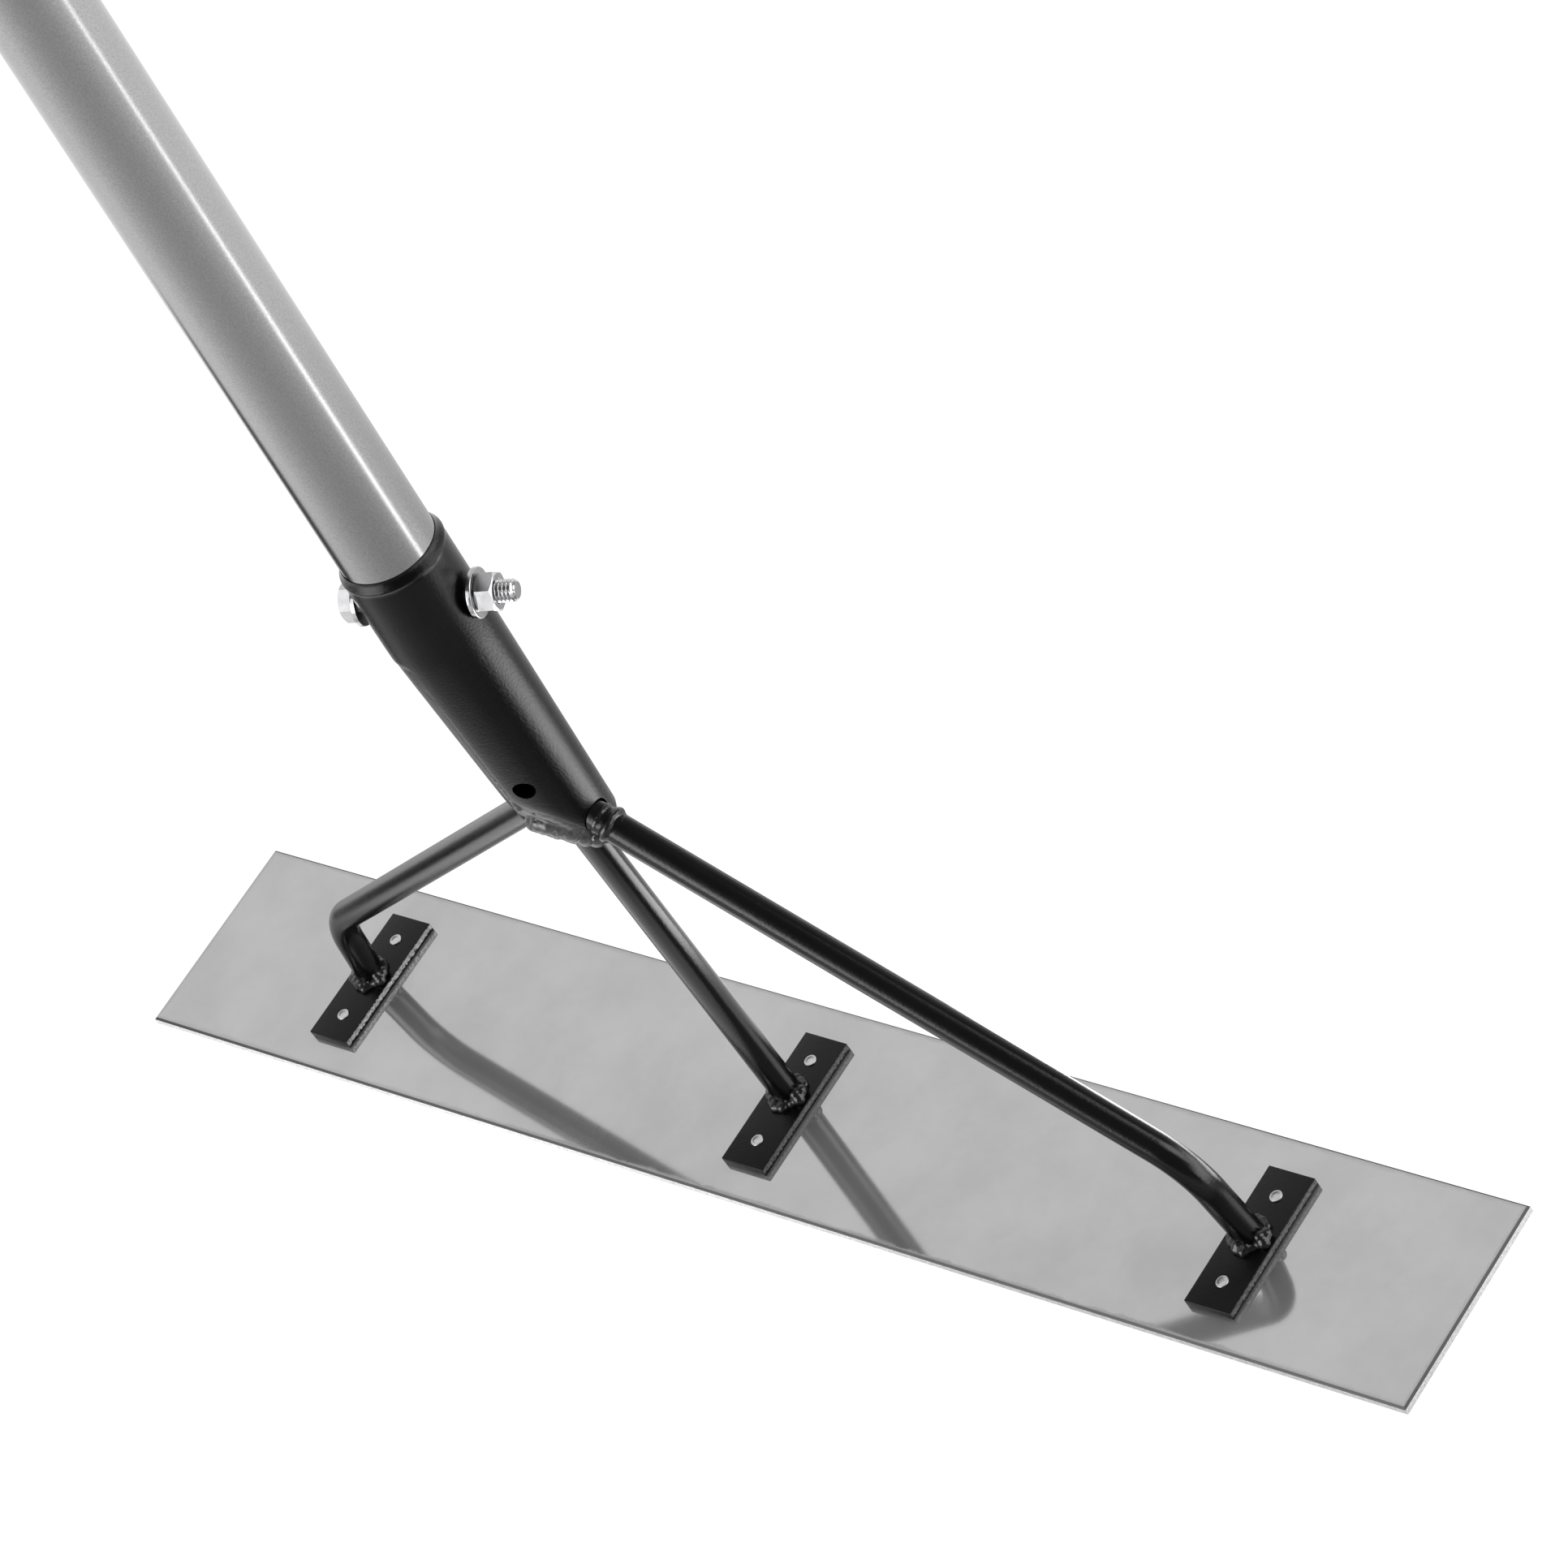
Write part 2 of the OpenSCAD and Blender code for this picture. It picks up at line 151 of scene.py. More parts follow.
class ScreedColours(bpy.types.PropertyGroup):
    """Colours of the finishes, scene linear."""

    blade: tint("Blade", "Bare aluminium", 0.55, 0.55, 0.555)
    tube: tint("Handle", "Satin tube", 0.41, 0.41, 0.414)
    coat: tint("Coat", "Black powder coat", 0.0026, 0.0026, 0.0027)
    zinc: tint("Zinc", "Bright plated hardware", 0.60, 0.60, 0.61)
    rivet: tint("Rivet", "Aluminium rivets", 0.72, 0.72, 0.73)
    grip: tint("Grip", "Soft vinyl", 0.018, 0.018, 0.019)
    floor: tint("Floor", "Pale floor", 0.80, 0.80, 0.80)


def sizes():
    return bpy.context.scene.screed_sizes


def colours():
    return bpy.context.scene.screed_colours


# ---- nodes


def feed(tree, target, value):
    """Links a socket to target, or gives target a plain value."""
    if isinstance(value, bpy.types.NodeSocket):
        tree.links.new(value, target)
    else:
        target.default_value = value


def node(tree, kind, **sockets):
    """A node with its inputs fed by name, an underscore standing for a space."""
    made = tree.nodes.new(kind)
    for name, value in sockets.items():
        feed(tree, made.inputs[name.replace("_", " ")], value)
    return made


def maths(tree, operation, *values, kind="ShaderNodeMath", result="Value"):
    made = tree.nodes.new(kind)
    made.operation = operation
    for target, value in zip(made.inputs, values):
        feed(tree, target, value)
    return made.outputs[result]


def vectors(tree, operation, *values, result="Vector"):
    return maths(tree, operation, *values, kind="ShaderNodeVectorMath", result=result)


def along(tree, vector, direction):
    """How far a vector points in a direction."""
    return vectors(tree, "DOT_PRODUCT", vector, direction, result="Value")


def axis_of(tree, vector, axis):
    return node(tree, "ShaderNodeSeparateXYZ", Vector=vector).outputs[axis]


def remap(tree, value, low, high, to_low=0.0, to_high=1.0, curve="LINEAR"):
    """Takes value from low..high to to_low..to_high, held at both ends."""
    made = node(tree, "ShaderNodeMapRange", Value=value, From_Min=low, From_Max=high,
                To_Min=to_low, To_Max=to_high)
    made.interpolation_type = curve
    return made.outputs["Result"]


def blend(tree, share, first, second, kind="RGBA"):
    """A mix of two colours or, with kind FLOAT, of two numbers."""
    made = tree.nodes.new("ShaderNodeMix")
    made.data_type = kind
    start, result = (6, 2) if kind == "RGBA" else (2, 0)
    for place, value in ((0, share), (start, first), (start + 1, second)):
        feed(tree, made.inputs[place], value)
    return made.outputs[result]


def speckle(tree, place, scale, detail, roughness=0.5):
    return node(tree, "ShaderNodeTexNoise", Vector=place, Scale=scale, Detail=detail,
                Roughness=roughness).outputs["Fac"]


def built_group(name, kind, inputs, outputs, fill):
    """The named group, filled on first use; fill turns its inputs into its outputs."""
    tree = bpy.data.node_groups.get(name)
    if tree:
        return tree
    tree = bpy.data.node_groups.new(name, kind)
    for label, socket, value in inputs:
        made = tree.interface.new_socket(
            name=label, in_out="INPUT", socket_type="NodeSocket" + socket)
        if value is not None:
            made.default_value = value
    for label, socket in outputs:
        tree.interface.new_socket(name=label, in_out="OUTPUT", socket_type="NodeSocket" + socket)
    source, out = tree.nodes.new("NodeGroupInput"), tree.nodes.new("NodeGroupOutput")
    for label, result in fill(tree, source.outputs).items():
        tree.links.new(result, out.inputs[label])
    return tree


def use_group(tree, group, **sockets):
    made = tree.nodes.new("ShaderNodeGroup")
    made.node_tree = group
    for name, value in sockets.items():
        feed(tree, made.inputs[name], value)
    return made.outputs[0]


def grain(tree, place, scale, fine, stretch=(1.0, 1.0, 1.0)):
    """Stretched noise in two sizes: a value from 0 to 1 for roughness and height."""

    def fill(inside, given):
        lie = vectors(inside, "MULTIPLY", given["Vector"], given["Stretch"])
        finer = maths(inside, "MULTIPLY", given["Scale"], 3.7)
        return {"Value": blend(inside, given["Fine"], speckle(inside, lie, given["Scale"], 2.0),
                               speckle(inside, lie, finer, 4.0, 0.65), "FLOAT")}

    group = built_group(
        "Surface grain", "ShaderNodeTree",
        [("Vector", "Vector", None), ("Stretch", "Vector", (1.0, 1.0, 1.0)),
         ("Scale", "Float", 400.0), ("Fine", "Float", 0.5)], [("Value", "Float")], fill)
    return use_group(tree, group, Vector=place, Scale=scale, Fine=fine, Stretch=stretch)


def patches(tree, place, scale, light, dark):
    """Soft patches between two colours, for handling marks and uneven finish."""

    def fill(inside, given):
        cloud = speckle(inside, given["Vector"], given["Scale"], 5.0, 0.6)
        share = remap(inside, cloud, 0.35, 0.65)
        return {"Color": blend(inside, share, given["Dark"], given["Light"])}

    group = built_group(
        "Uneven finish", "ShaderNodeTree",
        [("Vector", "Vector", None), ("Scale", "Float", 20.0),
         ("Light", "Color", (0.6, 0.6, 0.6, 1.0)), ("Dark", "Color", (0.5, 0.5, 0.5, 1.0))],
        [("Color", "Color")], fill)
    return use_group(tree, group, Vector=place, Scale=scale, Light=light, Dark=dark)


# ---- finishes


def shade(colour, gain=1.0):
    return tuple(min(1.0, c * gain) for c in colour) + (1.0,)


def finish_base(name):
    """A material, its tree, its Principled shader and the object's coordinates."""
    material = bpy.data.materials.new(name)
    material.use_nodes = True
    tree = material.node_tree
    place = tree.nodes.new("ShaderNodeTexCoord").outputs["Object"]
    return material, tree, tree.nodes["Principled BSDF"].inputs, place


def bumped(tree, height, surface, strength, distance):
    bump = node(tree, "ShaderNodeBump", Strength=strength, Distance=distance, Height=height)
    feed(tree, surface["Normal"], bump.outputs["Normal"])


def side_mask(tree, axis, place, scale, turn, low=-1.0, high=1.0):
    """Ragged mask of the faces along an axis, between two heights, and the noise in it."""
    normal = tree.nodes.new("ShaderNodeNewGeometry").outputs["Normal"]
    toward = remap(tree, maths(tree, "ABSOLUTE", axis_of(tree, normal, axis)), *turn)
    ragged = speckle(tree, place, scale, 3.0)
    wander = maths(tree, "MULTIPLY_ADD", ragged, 0.0022, axis_of(tree, place, "Z"))
    between = maths(tree, "MULTIPLY", remap(tree, wander, low + 0.0010, low + 0.0014),
                    remap(tree, wander, high + 0.0011, high + 0.0007))
    return maths(tree, "MULTIPLY", between, toward), ragged


def blade_finish():
    """Rolled aluminium sheet: cloudy, finely brushed, rubbed dull along its edges."""
    material, tree, surface, place = finish_base("mill_aluminium")
    colour = colours().blade
    brush = grain(tree, place, 700.0, 0.6, (1.0, 0.16, 1.0))
    # the rubbed border, by the distance to the nearest long edge or end
    near = maths(tree, "MINIMUM", *(
        maths(tree, "SUBTRACT", half, maths(tree, "ABSOLUTE", axis_of(tree, place, axis)))
        for axis, half in BLADE_HALVES))
    width = remap(tree, speckle(tree, place, 130.0, 3.0), 0.0, 1.0, 0.0008, 0.0046)
    border = remap(tree, near, 0.0006, width, 1.0, 0.0, "SMOOTHSTEP")
    clouds = patches(tree, place, 26.0, shade(colour, 1.04), shade(colour, 0.94))
    rubbed = blend(tree, border, clouds, shade(colour, 0.82))
    # the sheared edges are rough and painted pale, a painted reflection of the floor; the corners
    # above them are dull and darker
    sheared, specks = side_mask(tree, "Z", place, 1200.0, (0.25, 0.45))
    level_face, _ = side_mask(tree, "Z", place, 1200.0, (0.85, 0.97))
    edge = maths(tree, "SUBTRACT", 1.0, sheared)
    corner = maths(tree, "SUBTRACT", sheared, level_face)
    # painted reflection: the sheared sides are lightened up to 1.8 times the blade's colour
    pale = blend(tree, remap(tree, specks, 0.0, 1.0, -0.4, 1.4), shade(colour),
                 shade(colour, 1.8))
    rubbed_with_painted_edges = blend(tree, edge, rubbed, pale)
    gloss = blend(tree, border, remap(tree, brush, 0.0, 1.0, 0.04, 0.10), 0.34, "FLOAT")
    rough = blend(tree, maths(tree, "MAXIMUM", edge, corner), gloss, 0.5, "FLOAT")
    feed(tree, surface["Base Color"], blend(tree, corner, rubbed_with_painted_edges, shade(colour, 0.16)))
    feed(tree, surface["Metallic"], remap(tree, edge, 0.0, 1.0, 0.8, 0.15))
    feed(tree, surface["Roughness"], rough)
    bumped(tree, brush, surface, 0.05, 0.00003)
    return material


def skin(name, colour, clouds, light, dark, marks, fine, gloss, bump, depth,
         stretch=(1.0, 1.0, 1.0), metallic=0.0, specular=0.5, lean=0.0):
    """A finish with soft patches in its colour and fine marks in its gloss and height."""
    material, tree, surface, place = finish_base(name)
    if lean:
        place = node(tree, "ShaderNodeMapping", Vector=place,
                     Rotation=(lean, 0.0, 0.0)).outputs["Vector"]
    cloudy = patches(tree, place, clouds, shade(colour, light), shade(colour, dark))
    worked = grain(tree, place, marks, fine, stretch)
    feed(tree, surface["Base Color"], cloudy)
    feed(tree, surface["Roughness"], remap(tree, worked, 0.0, 1.0, *gloss))
    bumped(tree, worked, surface, bump, depth)
    surface["Metallic"].default_value = metallic
    surface["Specular IOR Level"].default_value = specular
    return material


def tube_finish():
    """Satin tube: drawn along its length, with a fine sparkle."""
    return skin("satin_tube", colours().tube, clouds=1500.0, light=1.10, dark=0.90, marks=900.0,
                fine=0.6, gloss=(0.16, 0.26), bump=0.12, depth=0.00005,
                stretch=(1.0, 1.0, 0.25), metallic=1.0, lean=sizes().tilt)


def coat_finish(name="black_coat", gain=1.0, level=0.28, low=0.06, high=0.13, peel=0.7):
    """Semi-gloss powder coat with orange peel."""
    return skin(name, colours().coat, clouds=90.0, light=1.25 * gain, dark=0.8 * gain,
                marks=1100.0, fine=0.35, gloss=(low, high), bump=peel, depth=0.0002,
                specular=level)


def zinc_finish(name, colour, low, high):
    """Bright plating with faint tool marks."""
    return skin(name, colour, clouds=260.0, light=1.05, dark=0.86, marks=900.0, fine=0.5,
                gloss=(low, high), bump=0.12, depth=0.00005, stretch=(1.0, 0.4, 1.0),
                metallic=1.0)


def grip_finish():
    """Soft matt vinyl with a fine skin."""
    return skin("soft_vinyl", colours().grip, clouds=45.0, light=1.2, dark=0.85, marks=1300.0,
                fine=0.5, gloss=(0.5, 0.72), bump=0.3, depth=0.00015)


def strap_finish():
    """The coat of the straps, rubbed thin on their sawn sides, with a painted highlight there as
    well.
    """
    material = coat_finish("strap_coat", level=0.22)
    tree = material.node_tree
    colour = tree.nodes["Principled BSDF"].inputs["Base Color"]
    place = tree.nodes.new("ShaderNodeTexCoord").outputs["Object"]
    top = sizes().strap_top
    # wear and painted highlight: light grey over the coat on the upper part of the sawn sides
    wear_and_sheen_mask, ragged = side_mask(tree, "X", place, 900.0, (0.75, 0.9), top - 0.0024, top - 0.0002)
    wear_and_sheen = maths(tree, "MULTIPLY", wear_and_sheen_mask, remap(tree, ragged, 0.0, 1.0, -0.3, 1.6))
    # the left strap shows the wear and the painted highlight most
    leftmost = remap(tree, axis_of(tree, place, "X"), -0.1, -0.2, 0.25, 1.0)
    wear_and_sheen = maths(tree, "MULTIPLY", wear_and_sheen, leftmost)
    coated = colour.links[0].from_socket
    feed(tree, colour, blend(tree, wear_and_sheen, coated, (0.62, 0.62, 0.62, 1.0)))
    return material


MAKERS = {
    "strap": strap_finish,
    "blade": blade_finish,
    "tube": tube_finish,
    "coat": coat_finish,
    "rod": lambda: coat_finish("rod_coat", 1.0, 0.5, 0.10, 0.19, 0.40),
    # painted sheen: the weld coats' black is raised 2.5 times on the beads and 24 times on the
    # socket weld, a grey that stands in for the floor's reflection
    "bead": lambda: coat_finish("weld_coat", 2.5, 0.7, 0.15, 0.26, 0.05),
    "socket": lambda: coat_finish("socket_coat", 24.0, 0.9, 0.18, 0.32, 0.05),
    "zinc": lambda: zinc_finish("bright_zinc", colours().zinc, 0.10, 0.24),
    "rivet": lambda: zinc_finish("rivet_metal", colours().rivet, 0.22, 0.40),
    "grip": grip_finish,
}
made_finishes = {}


def finish(name):
    if name not in made_finishes:
        made_finishes[name] = MAKERS[name]()
    return made_finishes[name]


# ---- places


def raised(height):
    return Matrix.Translation((0, 0, height))


def handle_frame():
    s = sizes()
    return (Matrix.Translation((0, s.handle_foot_y, s.blade_top))
            @ Matrix.Rotation(-s.tilt, 4, "X"))


def bolt_frame():
    s = sizes()
    return (handle_frame() @ raised(s.bolt_height) @ Matrix.Rotation(s.bolt_turn, 4, "Z")
            @ Matrix.Rotation(math.pi / 2 + s.bolt_dip, 4, "Y"))


def washer_seat():
    s = sizes()
    return (s.ferrule_radius / math.cos(s.bolt_dip) + s.washer_radius * math.tan(s.bolt_dip)
            + FACE_GAP)


def head_seat():
    return washer_seat() + sizes().washer_thickness + FACE_GAP


def clamp(value):
    return max(0.0, min(1.0, value))


def bearings(count):
    """Angles of that many even steps round a circle."""
    return [FULL_TURN * k / count for k in range(count)]


def spot(turn, radius, height, offset=0.0):
    return radius * math.cos(turn), offset + radius * math.sin(turn), height


# ---- meshes


def add_object(name, data):
    made = bpy.data.objects.new(name, data)
    bpy.context.scene.collection.objects.link(made)
    return made


def plain_object(name, points, edges=(), faces=()):
    mesh = bpy.data.meshes.new(name)
    mesh.from_pydata(points, edges, faces)
    return add_object(name, mesh)


def solid_object(name, shape):
    """An object at the origin from a bmesh, facing outwards."""
    bmesh.ops.recalc_face_normals(shape, faces=shape.faces)
    mesh = bpy.data.meshes.new(name)
    shape.to_mesh(mesh)
    shape.free()
    return add_object(name, mesh)


def mesh_piece(name, points, faces, place=None, merge=0.000005):
    """A solid object from points and faces, which may repeat a corner or a face."""
    shape = bmesh.new()
    corners = [shape.verts.new(place @ Vector(p) if place else p) for p in points]
    for face in faces:
        unique = list(dict.fromkeys(face))
        if len(unique) > 2:
            try:
                shape.faces.new([corners[i] for i in unique])
            except ValueError:
                continue
    bmesh.ops.remove_doubles(shape, verts=shape.verts, dist=merge)
    return solid_object(name, shape)


def bake_modifiers(piece):
    """Turns the evaluated object into a plain mesh and drops its modifiers."""
    ready = piece.evaluated_get(bpy.context.evaluated_depsgraph_get())
    mesh = bpy.data.meshes.new_from_object(ready)
    old = piece.data
    piece.modifiers.clear()
    piece.data = mesh
    mesh.name = piece.name
    bpy.data.meshes.remove(old)


def smooth(piece, sharp):
    piece.data.shade_smooth()
    piece.data.set_sharp_from_angle(angle=math.radians(sharp))


def dress(piece, surface, slot, *nodes, sharp=35.0):
    """Smooth shading, the finish, the body it rides on and the CAD nodes it stands for."""
    piece.data.materials.clear()
    piece.data.materials.append(finish(surface))
    for polygon in piece.data.polygons:
        polygon.material_index = 0
    smooth(piece, sharp)
    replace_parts(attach(piece, "root"), *nodes)


def even_rows(count, columns):
    return [(i * columns, columns) for i in range(count)]


def skin_rows(rows, closed=False):
    """Faces between rows of points; a row is (its first point, how many it has)."""
    faces = []
    for (a, below), (b, above) in zip(rows, rows[1:] + (rows[:1] if closed else [])):
        columns = max(below, above)
        for k in range(columns):
            n = (k + 1) % columns
            faces.append((a + k % below, a + n % below, b + n % above, b + k % above))
    return faces


def end_caps(points, columns):
    """Faces over the first and the last row of points."""
    last = len(points) - columns
    return [tuple(range(columns)), tuple(range(last, len(points)))]


def lathe(profile, columns=96, closed=False):
    """Points and faces of a profile of (radius, height) turned round Z."""
    points, rows = [], []
    for radius, height in profile:
        turns = bearings(columns) if radius > 1e-7 else [0.0]
        rows.append((len(points), len(turns)))
        points += [spot(turn, radius, height) for turn in turns]
    return points, skin_rows(rows, closed)


def arc(centre, radius, start, stop, steps):
    """Points of a profile's rounded corner, angles in degrees."""
    turns = [math.radians(start + (stop - start) * i / steps) for i in range(steps + 1)]
    return [(centre[0] + radius * math.cos(a), centre[1] + radius * math.sin(a)) for a in turns]


# ---- geometry node trees


def geometry_tree(name, inputs, fill):
    """A tree that ends, like all of them, in Realize Instances and Set Material."""

    def closed(tree, given):
        real = node(tree, "GeometryNodeRealizeInstances", Geometry=fill(tree, given))
        paint = node(tree, "GeometryNodeSetMaterial", Geometry=real.outputs[0],
                     Material=given["Finish"])
        return {"Geometry": paint.outputs[0]}

    return built_group(
        name, "GeometryNodeTree",
        [("Geometry", "Geometry", None), *inputs, ("Finish", "Material", None)],
        [("Geometry", "Geometry")], closed)


def bar_tree():
    """A round bar swept along the path that the mesh's edges give."""

    def fill(tree, given):
        path = node(tree, "GeometryNodeMeshToCurve", Mesh=given["Geometry"])
        ring = node(tree, "GeometryNodeCurvePrimitiveCircle", Radius=given["Radius"],
                    Resolution=given["Sides"])
        return node(tree, "GeometryNodeCurveToMesh", Curve=path.outputs["Curve"],
                    Profile_Curve=ring.outputs["Curve"], Fill_Caps=True).outputs["Mesh"]

    return geometry_tree("Round bar", [("Radius", "Float", 0.005), ("Sides", "Int", 64)], fill)


def fastener_tree():
    """One fastener at each point, each turned differently."""

    def fill(tree, given):
        points = node(tree, "GeometryNodeMeshToPoints", Mesh=given["Geometry"])
        shape = node(tree, "GeometryNodeObjectInfo", Object=given["Fastener"])
        turn = tree.nodes.new("FunctionNodeRandomValue")
        turn.data_type = "FLOAT_VECTOR"
        turn.inputs[0].default_value = (0.0, 0.0, 0.0)
        turn.inputs[1].default_value = (0.0, 0.0, 6.28)
        feed(tree, turn.inputs["Seed"], given["Seed"])
        return node(tree, "GeometryNodeInstanceOnPoints", Points=points.outputs["Points"],
                    Instance=shape.outputs["Geometry"],
                    Rotation=turn.outputs[0]).outputs["Instances"]

    return geometry_tree(
        "Set fasteners", [("Fastener", "Object", None), ("Seed", "Int", 7)], fill)


def run_tree(piece, tree, **values):
    modifier = piece.modifiers.new(tree.name, "NODES")
    modifier.node_group = tree
    for item in tree.interface.items_tree:
        if item.in_out == "INPUT" and item.name in values:
            modifier[item.identifier] = values[item.name]
    bake_modifiers(piece)


# ---- paths


def side_corner():
    """Distance from the middle, and height, of the corner that a side rod's bend rounds off."""
    s = sizes()
    return s.strap_pitch - s.corner_height * math.tan(s.foot_lean), s.strap_top + s.corner_height


def arm_slope():
    s = sizes()
    rise = s.blade_top + s.apex - s.strap_top - s.corner_height
    return math.atan2(rise, side_corner()[0])


def side_rod_path(side):
    """Centre line of a side rod, from its strap to the middle rod."""
    s = sizes()
    steps = 28
    slope = arm_slope()
    up = Vector((-math.sin(s.foot_lean), math.cos(s.foot_lean)))
    turn = math.pi / 2 - s.foot_lean - slope
    start = Vector(side_corner()) - up * (s.bend_radius * math.tan(turn / 2))
    centre = start - Vector((math.cos(s.foot_lean), math.sin(s.foot_lean))) * s.bend_radius
    flat = [Vector((s.strap_pitch, s.strap_top)) + up * 0.0002 * i for i in (0, 1)]
    for i in range(steps + 1):
        a = s.foot_lean + turn * i / steps
        flat.append(centre + Vector((math.cos(a), math.sin(a))) * s.bend_radius)
    end_x = s.rod_radius + 0.0004 + s.rod_radius * math.sin(slope)
    flat.append(Vector((end_x, s.blade_top + s.apex - end_x * math.tan(slope))))
    return [(side * p.x, s.side_rod_y, p.y) for p in flat]


def middle_rod_path():
    s = sizes()
    rise = s.blade_top + s.apex - s.rod_radius - s.strap_top
    return [(0, s.middle_rod_y - rise * t * math.tan(s.middle_rod_lean), s.strap_top + rise * t)
            for t in (0, 0.25, 0.5, 0.75, 1)]


def taper_at(height):
    """(radius, centre offset) of the ferrule's outside at a height along the axis."""
    s = sizes()
    drop = s.taper_start - height
    drop = 0.5 * (drop + math.sqrt(drop * drop + SOFT_BEND ** 2))
    return s.ferrule_radius - drop * math.tan(s.taper), drop * math.tan(s.taper)


def cut_height(across):
    """Height of the ferrule's lower end at a distance across the tool, along the axis."""
    s = sizes()
    return s.toe + max(0.0, -across) * math.tan(s.heel_slope)


def lower_rim(turn, inner=1.0):
    """Radius, centre offset and height of the ferrule's lower edge at a bearing."""
    height = sizes().toe
    for _ in range(4):
        radius, offset = taper_at(height)
        height = cut_height(offset + radius * inner * math.sin(turn))
    return radius, offset, height


# ---- pieces


class SCREED_OT_blade(bpy.types.Operator):
    """Give the blade its rolled aluminium finish"""

    bl_idname = "screed.blade"
    bl_label = "Blade"

    def execute(self, context):
        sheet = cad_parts["blade"]
        sheet.data.materials.clear()
        sheet.data.materials.append(finish("blade"))
        return {"FINISHED"}


class SCREED_OT_straps(bpy.types.Operator):
    """Build the three coated straps"""

    bl_idname = "screed.straps"
    bl_label = "Straps"

    def execute(self, context):
        for side in SIDES:
            low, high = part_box(side + "_strap")
            shape = bmesh.new()
            bmesh.ops.create_cube(shape, size=1.0)
            for corner in shape.verts:
                corner.co = Vector(
                    low[i] + (corner.co[i] + 0.5) * (high[i] - low[i]) for i in range(3))
            bmesh.ops.bevel(shape, geom=list(shape.edges), offset=sizes().strap_round,
                            segments=4, profile=0.5, affect="EDGES")
            dress(solid_object(side + "_strap_bar", shape), "strap", "black_coat",
                  side + "_strap", sharp=60)
        return {"FINISHED"}


class SCREED_OT_rivets(bpy.types.Operator):
    """Set a flush rivet at both ends of each strap"""

    bl_idname = "screed.rivets"
    bl_label = "Rivets"

    def execute(self, context):
        s = sizes()
        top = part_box("left_near_rivet")[1].z
        shank, head, rim = 0.0024, 0.0045, 0.00022
        profile = [(0, 0.0), (0.0006, 0.00006), (head - 0.0002, 0.00003), (head, 0.00008),
                   (shank, head - shank), (shank, s.strap_top)]
        # the set tail: a rolled rim round a shallow dish
        profile += arc((shank - rim, top - rim), rim, 0, 90, 5)
        profile += [(shank - 0.0006, top - 0.00004), (shank - 0.00095, top - 0.00030),
                    (shank - 0.0013, top - 0.00040), (0, top - 0.00036)]
        shape = mesh_piece("rivet_shape", *lathe(profile, 48))
        for corner in shape.data.vertices:
            wave = noise.noise(corner.co * 900) * 0.00006
            if corner.co.z > s.strap_top:
                corner.co.z = min(top, corner.co.z + wave)
        smooth(shape, 40)
        row = plain_object("rivets", [
            (x, s.strap_y + end * s.rivet_pitch / 2, 0.0)
            for x in (-s.strap_pitch, 0, s.strap_pitch) for end in (-1, 1)])
        run_tree(row, fastener_tree(), Fastener=shape, Seed=5, Finish=finish("rivet"))
        bpy.data.objects.remove(shape)
        dress(row, "rivet", "rivet",
              *[a + b for a in SIDES for b in ("_near_rivet", "_far_rivet")], sharp=40)
        return {"FINISHED"}


class SCREED_OT_rods(bpy.types.Operator):
    """Sweep the three round rods along their paths"""

    bl_idname = "screed.rods"
    bl_label = "Rods"

    def execute(self, context):
        s = sizes()
        for side, points in zip(SIDES, (side_rod_path(-1), middle_rod_path(), side_rod_path(1))):
            steps = [(i, i + 1) for i in range(len(points) - 1)]
            bar = plain_object(side + "_rod_bar", points, steps)
            run_tree(bar, bar_tree(), Radius=s.rod_radius, Sides=72, Finish=finish("rod"))
            # the short leg is cut off flat on the strap
            for corner in bar.data.vertices:
                corner.co.z = max(corner.co.z, s.strap_top)
            dress(bar, "rod", "black_coat", side + "_rod", sharp=50)
        return {"FINISHED"}


def ferrule_point(turn, height, depth):
    """A point on the ferrule's wall in the handle's frame, depth in from the outside."""
    s = sizes()
    radius, offset = taper_at(height)
    # the lower edge curls in a little over the weld, most of all in front on the right
    lift = height - cut_height(offset + radius * math.sin(turn))
    curl = CURL * math.exp(-max(0.0, lift) / CURL_FADE) * max(0.0, math.cos(turn + CURL_TURN))
    # below the top of the slit one flank is pressed in behind the other, and its edge wanders
    flank = max(0.0, (turn - FLANK_START) / FLANK_SPAN)
    below = clamp((s.taper_start - height) / SLIT_FADE)
    curl += FLANK_DEPTH * flank * flank * below
    from_slit = min(abs(turn + math.pi / 2), abs(turn - 1.5 * math.pi))
    near = math.exp(-(from_slit / SLIT_REACH) ** 2) * below
    curl += near * SLIT_WANDER * (1 + noise.noise(Vector((0.3, 0.7, height * 210))) * 1.5)
    return Vector(spot(turn, radius - (curl + depth), height, offset))


def ferrule_bottom(turn):
    """Lowest height of the ferrule's wall at a bearing, with the notches for the side rods."""
    s = sizes()
    height = lower_rim(turn)[2]
    point = handle_frame() @ ferrule_point(turn, height, 0.0)
    reach = s.rod_radius + NOTCH_GAP
    aside = point.y - s.side_rod_y
    if abs(aside) < reach:
        slope = arm_slope()
        over = s.blade_top + s.apex - abs(point.x) * math.tan(slope)
        over += math.sqrt(reach * reach - aside * aside) / math.cos(slope)
        local = handle_frame().inverted() @ Vector((point.x, point.y, over))
        height = max(height, local.z)
    return height


